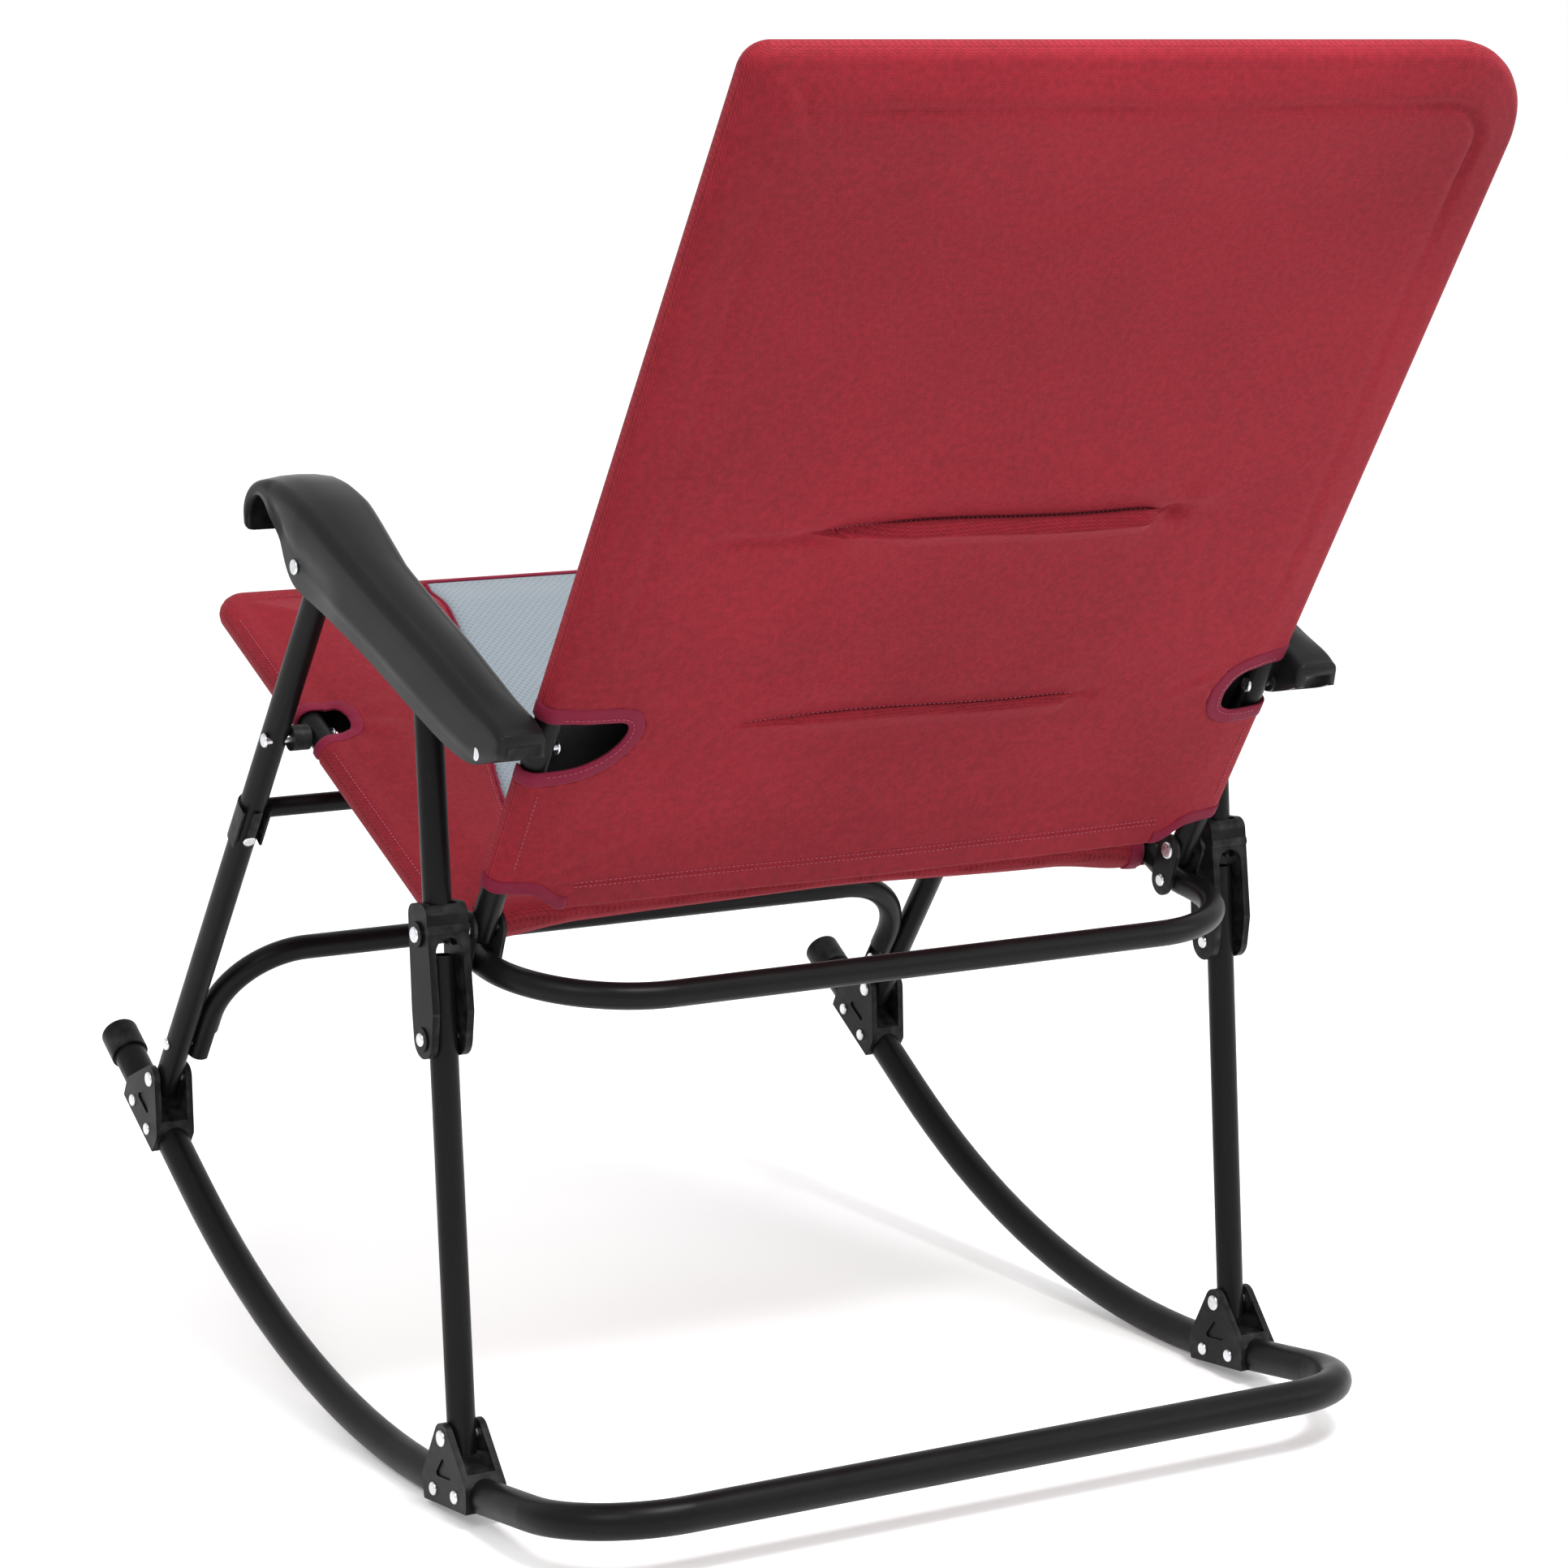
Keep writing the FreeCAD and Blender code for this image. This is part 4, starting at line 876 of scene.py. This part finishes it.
# ---- seat cover -----------------------------------------------------------------------------
SEAT_REAR = 33.0
SEAT_PANEL = (40.0, SEAT_FRONT - 1.0)
NOTCH = 24.0


def seat_panel_half(w):
    """The seat's mesh panel is narrow at the front, waisted, and widens to the rear."""
    t = np.clip((np.asarray(w, float) - SEAT_PANEL[0]) / (SEAT_PANEL[1] - SEAT_PANEL[0]), 0, 1)
    return 206.0 - 80.0 * smoothstep(t, 0.1, 1.0) - 4.0 * np.sin(t * math.pi)


def seat_outer(u, w):
    """Relief of the seat's top: crown, panel seam, sag and puckers round the pivot cut-outs."""
    inset = seat_cover_map.inset(u, w)
    crown = 8.5 * smoothstep(inset, 2.0, 46.0)
    seam = -2.6 * bell(np.abs(u) - seat_panel_half(w), 0.0, 5.0)
    sag = -3.0 * bell(u, 0.0, 170.0) * bell(w, 215.0, 148.0)
    stitch = -0.9 * bell(inset, 9.0, 2.0)
    pucker = 0.0
    for side in (1.0, -1.0):
        away = np.hypot(side * u - 268.0, w - SEAT_PIVOT_AT)
        angle = np.arctan2(w - SEAT_PIVOT_AT, 268.0 - side * u)
        pucker = pucker + 1.0 * np.sin(angle * 7.0) * bell(away, 32.0, 16.0)
    soft = 0.6 * ripples(u, w, 11, 150.0) + 0.25 * ripples(u, w, 13, 55.0)
    live = smoothstep(inset, 1.0, 14.0)
    return live * (seam + sag + stitch + pucker + soft) + crown


def seat_inner(u, w):
    """Underside of the seat: lifted at the rear, padded elsewhere."""
    inset = seat_cover_map.inset(u, w)
    rear = 1.0 - smoothstep(w, SEAT_REAR, SEAT_REAR + 110.0)
    arch = 9.0 * smoothstep(inset, 14.0, 90.0) + 6.0 * bell(u, 0.0, 130.0)
    padding = 1.2 * smoothstep(inset, 8.0, 60.0) * (0.6 + 0.5 * ripples(u, w, 21, 140.0))
    return -arch * rear + padding - 0.6 * bell(inset, 24.0, 5.0)


seat_cover_map = Cover(seat_plane, SEAT_REAR, SEAT_FRONT, (12.0, 12.0), seat_outer, seat_inner)

NOTCH_LINE = smooth_line([(330, NOTCH), (268, NOTCH), (256, NOTCH * 0.72), (252, 0),
                          (256, -NOTCH * 0.72), (268, -NOTCH), (330, -NOTCH)])


def seat_cut(x, w, layer):
    if abs(w - SEAT_PIVOT_AT) > NOTCH + 2:
        return False
    half = np.interp(abs(w - SEAT_PIVOT_AT), [0, NOTCH * 0.72, NOTCH - 2, NOTCH],
                     [253.5, 257.5, 266, 300])
    if layer == "inner":
        return abs(x) > half
    return abs(x) > half and abs(w - SEAT_PIVOT_AT) < NOTCH + 0.5


cols = spread([(-280, 1.6), (-272, 3.0), (-236, 5.0), (236, 3.0), (272, 1.6), (280, 1)])
rows = spread([(SEAT_REAR, 3.0), (51, 5.0), (SEAT_PIVOT_AT - 30, 2.4), (SEAT_PIVOT_AT + 30, 5.0),
               (396, 2.4), (434, 1)])
seat = seat_cover_map.build("seat_cover_cloth", cols, rows, seat_cut,
                            [SEAT_CLOTH, LINING, SEAT_CLOTH, SEAT_CLOTH])
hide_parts("seat_cover")
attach(seat, "seat")

seat_mesh = mesh_sheet("seat_mesh_sheet", seat_cover_map, *SEAT_PANEL, seat_panel_half, 1.0,
                       [SEAT_MESH], False)
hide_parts("seat_mesh_panel")
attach(seat_mesh, "seat")


def seat_bits():
    outline = panel_outline(seat_cover_map, *SEAT_PANEL, seat_panel_half, False, 0.6)
    pieces = [bead("seat_mesh_seam", outline, 1.2)]
    for label, side in SIDES:
        line = NOTCH_LINE[NOTCH_LINE[:, 0] <= 298]
        line = np.concatenate([[(300.0, NOTCH)], line, [(300.0, -NOTCH)]])
        line = np.stack([side * line[:, 0], SEAT_PIVOT_AT + line[:, 1]], 1)
        pieces.append(tape("seat_notch_binding_" + label, seat_plane,
                           seat_cover_map.cloth_point, line, side, width=8.0))
    runs = []
    up = seat_plane.n
    for side in (1.0, -1.0):
        for lo, hi in ((SEAT_REAR + 4, SEAT_PIVOT_AT - 34), (SEAT_PIVOT_AT + 34, 404)):
            w = np.linspace(lo, hi, 60)
            runs.append((seat_plane.at(seat_cover_map.side_point(side, w, np.full(60, 6.0), 0.1)),
                         np.array([side * 0.6, 0.0, 0.8])))
        w = np.linspace(46, 426, 90)
        u = side * (seat_panel_half(w) + 5.0)
        runs.append((seat_plane.at(seat_cover_map.face_point(u, w, 0.1)), up))
    w = np.full(90, 428.0)
    runs.append((seat_plane.at(seat_cover_map.face_point(np.linspace(-255, 255, 90), w, 0.1)), up))
    pieces.append(stitches("seat_stitching", runs))
    return pieces


def rear_roll(name, left, right, swell, mats):
    """The rolled rear edge that closes the seat's sleeve between its tubes."""
    us = np.linspace(left, right, max(4, int(abs(right - left) / 5)))
    ws = np.full(len(us), SEAT_REAR + 0.5)
    top = seat_cover_map.face_point(us, ws, swell)
    low = seat_cover_map.face_point(us, ws, swell, inner=True)
    rows = [top + (0.0, 6.0, 0.0)]
    for step in range(13):
        a = math.pi * step / 12.0
        row = (top + low) / 2.0 + (top - low) / 2.0 * math.cos(a)
        row[:, 1] -= (8.0 + swell + 0.8 * np.sin(us / 31.0)) * math.sin(a)
        row[:, 1] += 1.3 * bell(step, 9.0, 0.9)
        rows.append(row)
    rows.append(low + (0.0, 6.0, 0.0))
    points = seat_plane.at(np.concatenate(rows))
    obj = make_object(name, points, grid_faces(len(rows), len(us)), mats)
    thicken(obj, 1.0)
    return obj


rolls = [rear_roll("seat_rear_hem", -266.0, 266.0, 0.3, [SEAT_CLOTH]),
         rear_roll("seat_rear_binding_left", 257.0, 268.0, 1.4, [BINDING]),
         rear_roll("seat_rear_binding_right", -268.0, -257.0, 1.4, [BINDING])]
for piece in seat_bits() + rolls:
    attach(piece, "seat")


# ---- armrests -------------------------------------------------------------------------------
ARM_X = 312.0              # the legs' plane, about which the wide front is centred
ARM_HALF = 28.0
# (top y, z), (underside y, z) of each station, from the tip of the rolled front lip to the rear
ARM_STATIONS = (
    ((-201.0, 626.0), (-195.5, 624.0)), ((-203.0, 636.0), (-195.5, 634.0)),
    ((-199.0, 646.0), (-191.0, 641.0)), ((-189.0, 654.0), (-184.0, 646.0)),
    ((-175.0, 658.0), (-174.0, 648.0)), ((-160.0, 659.0), (-162.0, 641.0)),
    ((-145.0, 657.5), (-151.0, 622.0)), ((-130.0, 654.0), (-140.0, 600.0)),
    ((-112.0, 648.5), (-126.0, 589.0)), ((-90.0, 639.5), (-104.0, 583.0)),
    ((-60.0, 626.0), (-72.0, 576.5)), ((-25.0, 610.5), (-36.0, 564.5)),
    ((15.0, 594.0), (4.0, 549.0)), ((55.0, 578.5), (46.0, 531.5)),
    ((95.0, 561.0), (86.0, 516.0)), ((125.0, 548.0), (117.0, 508.5)),
    ((144.0, 540.0), (139.0, 513.0)), ((153.0, 534.0), (150.0, 517.0)),
)


def armrest_section(top, low):
    """Closed (x, y, z) ring of a hollow, crowned section standing between two points in mm."""
    y = (top[0] + low[0]) / 2.0
    outer = np.interp(y, [-120.0, 162.0], [ARM_X + ARM_HALF, 326.0])
    inner = np.interp(y, [-120.0, -45.0], [ARM_X - ARM_HALF, 292.6])
    middle, half = (outer + inner) / 2.0, (outer - inner) / 2.0
    up = np.array(top) - np.array(low)
    height = float(np.linalg.norm(up))
    up = up / height
    to_rear = float(smoothstep(y, 110.0, 148.0))
    r = min(9.0 - 3.5 * to_rear, height * 0.45)
    crown = 2.2 * (1.0 - 0.8 * to_rear)
    tuck_in = 4.3 * (1.0 - smoothstep(y, -110.0, -50.0)) * smoothstep(height, 20.0, 40.0)
    wall = 5.0
    inside = 0.0               # height of the hollow under the moulding
    if height > 16.0:
        inside = (height - 8.0) * float(1.0 - smoothstep(y, 100.0, 110.0))
    inside += 8.5 * float(smoothstep(y, 130.0, 142.0))
    side = [(half - tuck_in, 0.0), (half - tuck_in, height * 0.30),
            (half - tuck_in * 0.5, height * 0.46), (half, height * 0.60)]
    side = [(x, min(z, height - r - 0.2)) for x, z in side] + [(half, height - r)]
    for step in range(1, 8):
        a = math.radians(90.0 * step / 8.0)
        side.append((half - r + r * math.cos(a), height - r + r * math.sin(a)))
    side += [(half - r, height), (half * 0.40, height + crown * 0.8)]
    ring = side + [(0.0, height + crown)] + [(-x, z) for x, z in reversed(side)]
    reach = half - tuck_in - wall
    ring += [(-reach, 0.0), (-reach, inside), (reach, inside), (reach, 0.0)]
    return [(middle + x, low[0] + up[0] * z, low[1] + up[1] * z) for x, z in ring]


def armrest(name, mirror):
    """The moulding lofted through its stations, with rounded ends; mirror is -1 on the right."""
    top_line, low_line = (smooth_line([s[i] for s in ARM_STATIONS], rounds=2) for i in (0, 1))
    tops = resample(top_line, 3.2)
    run = np.concatenate([[0], np.cumsum(np.linalg.norm(np.diff(top_line, axis=0), axis=1))])
    at = np.linspace(0, run[-1], len(tops))
    lows = np.stack([np.interp(at, run, low_line[:, i]) for i in range(2)], 1)
    rings = [np.array(armrest_section(t, b)) for t, b in zip(tops, lows)]
    for last, outward, scale in ((0, -1, (0.985, 0.93, 0.80)), (-1, 1, (0.985, 0.94, 0.85))):
        ring = rings[last]
        centre = ring.mean(axis=0)
        step = (rings[last] - rings[last - outward]).mean(axis=0)
        step /= np.linalg.norm(step)
        ends = [centre + (ring - centre) * k + step * reach
                for k, reach in zip(scale, (1.6, 2.9, 3.8))]
        rings = ends[::-1] + rings if last == 0 else rings + ends
    return loft(name, np.stack(rings, 1) * (mirror, 1.0, 1.0) * MM, [ARM_PLASTIC])


for label, side in SIDES:
    moulding = armrest("armrest_moulding_" + label, side)
    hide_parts("armrest_" + label)
    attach(moulding, "armrest_" + label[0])


# ---- floor, light and camera ----------------------------------------------------------------
def flat_material(name, base, rough):
    mat, bsdf = material(name, base, rough, spec=0.3)
    n = Nodes(mat, bsdf)
    n.use(rough=n.remap(n.noise(n.coords(), 3.0), 0.3, 0.7, rough - 0.04, rough + 0.04))
    bsdf.inputs["Emission Color"].default_value = (1, 1, 1, 1)
    bsdf.inputs["Emission Strength"].default_value = 0.17
    return mat


def floor_and_wall():
    """One plain sheet: floor, a wide curve, and wall on the side that the camera faces."""
    path = [(12.0, 0.0)]
    path += [(-7.0 - 4.0 * math.sin(math.radians(a)), 4.0 - 4.0 * math.cos(math.radians(a)))
             for a in range(0, 91, 6)]
    path += [(-11.0, 14.0)]
    points = [(x, y, z) for y, z in path for x in (-16.0, 16.0)]
    faces = [(2 * i, 2 * i + 1, 2 * i + 3, 2 * i + 2) for i in range(len(path) - 1)]
    white = flat_material("floor_white", (0.93, 0.93, 0.93), 0.42)
    make_object("floor", points, faces, [white])


floor_and_wall()

world = bpy.data.worlds.new("studio")
world.use_nodes = True
background = world.node_tree.nodes["Background"]
background.inputs["Color"].default_value = (1.0, 1.0, 1.0, 1)
background.inputs["Strength"].default_value = 0.85
bpy.context.scene.world = world
bpy.context.scene.view_settings.view_transform = "Standard"


def area_light(name, place, target, size, power):
    data = bpy.data.lights.new(name, "AREA")
    data.shape = "RECTANGLE"
    data.size, data.size_y = size
    data.energy = power
    obj = bpy.data.objects.new(name, data)
    obj.location = place
    obj.rotation_euler = (Vector(target) - Vector(place)).to_track_quat("-Z", "Y").to_euler()
    bpy.context.scene.collection.objects.link(obj)


area_light("key", (2.6, 1.6, 2.9), (0, 0, 0.5), (1.6, 1.6), 40.0)
area_light("fill", (-2.6, 2.2, 1.6), (0, 0, 0.4), (1.8, 1.8), 22.0)
area_light("top", (-0.2, 1.35, 2.9), (0, 0.2, 0.7), (1.2, 0.9), 84.0)


def make_camera():
    """Behind and to the left of the chair, slightly above it, with a long lens."""
    image_px, sensor_mm = 1932.0, 36.0
    focal_px, azimuth, elevation, roll = 5502.9, 30.859, 10.715, 0.762
    place = Vector((1.5731, 2.5871, 1.0213))
    a, e = math.radians(azimuth), math.radians(elevation)
    forward = Vector((-math.sin(a) * math.cos(e), -math.cos(a) * math.cos(e), -math.sin(e)))
    right = forward.cross(Vector((0, 0, 1))).normalized()
    up = right.cross(forward)
    r = math.radians(roll)
    right, up = right * math.cos(r) + up * math.sin(r), up * math.cos(r) - right * math.sin(r)
    data = bpy.data.cameras.new("camera")
    data.sensor_width = sensor_mm
    data.lens = focal_px / image_px * sensor_mm
    obj = bpy.data.objects.new("camera", data)
    turn = Matrix((right, up, -forward)).transposed()
    obj.matrix_world = Matrix.Translation(place) @ turn.to_4x4()
    bpy.context.scene.collection.objects.link(obj)
    bpy.context.scene.camera = obj


make_camera()
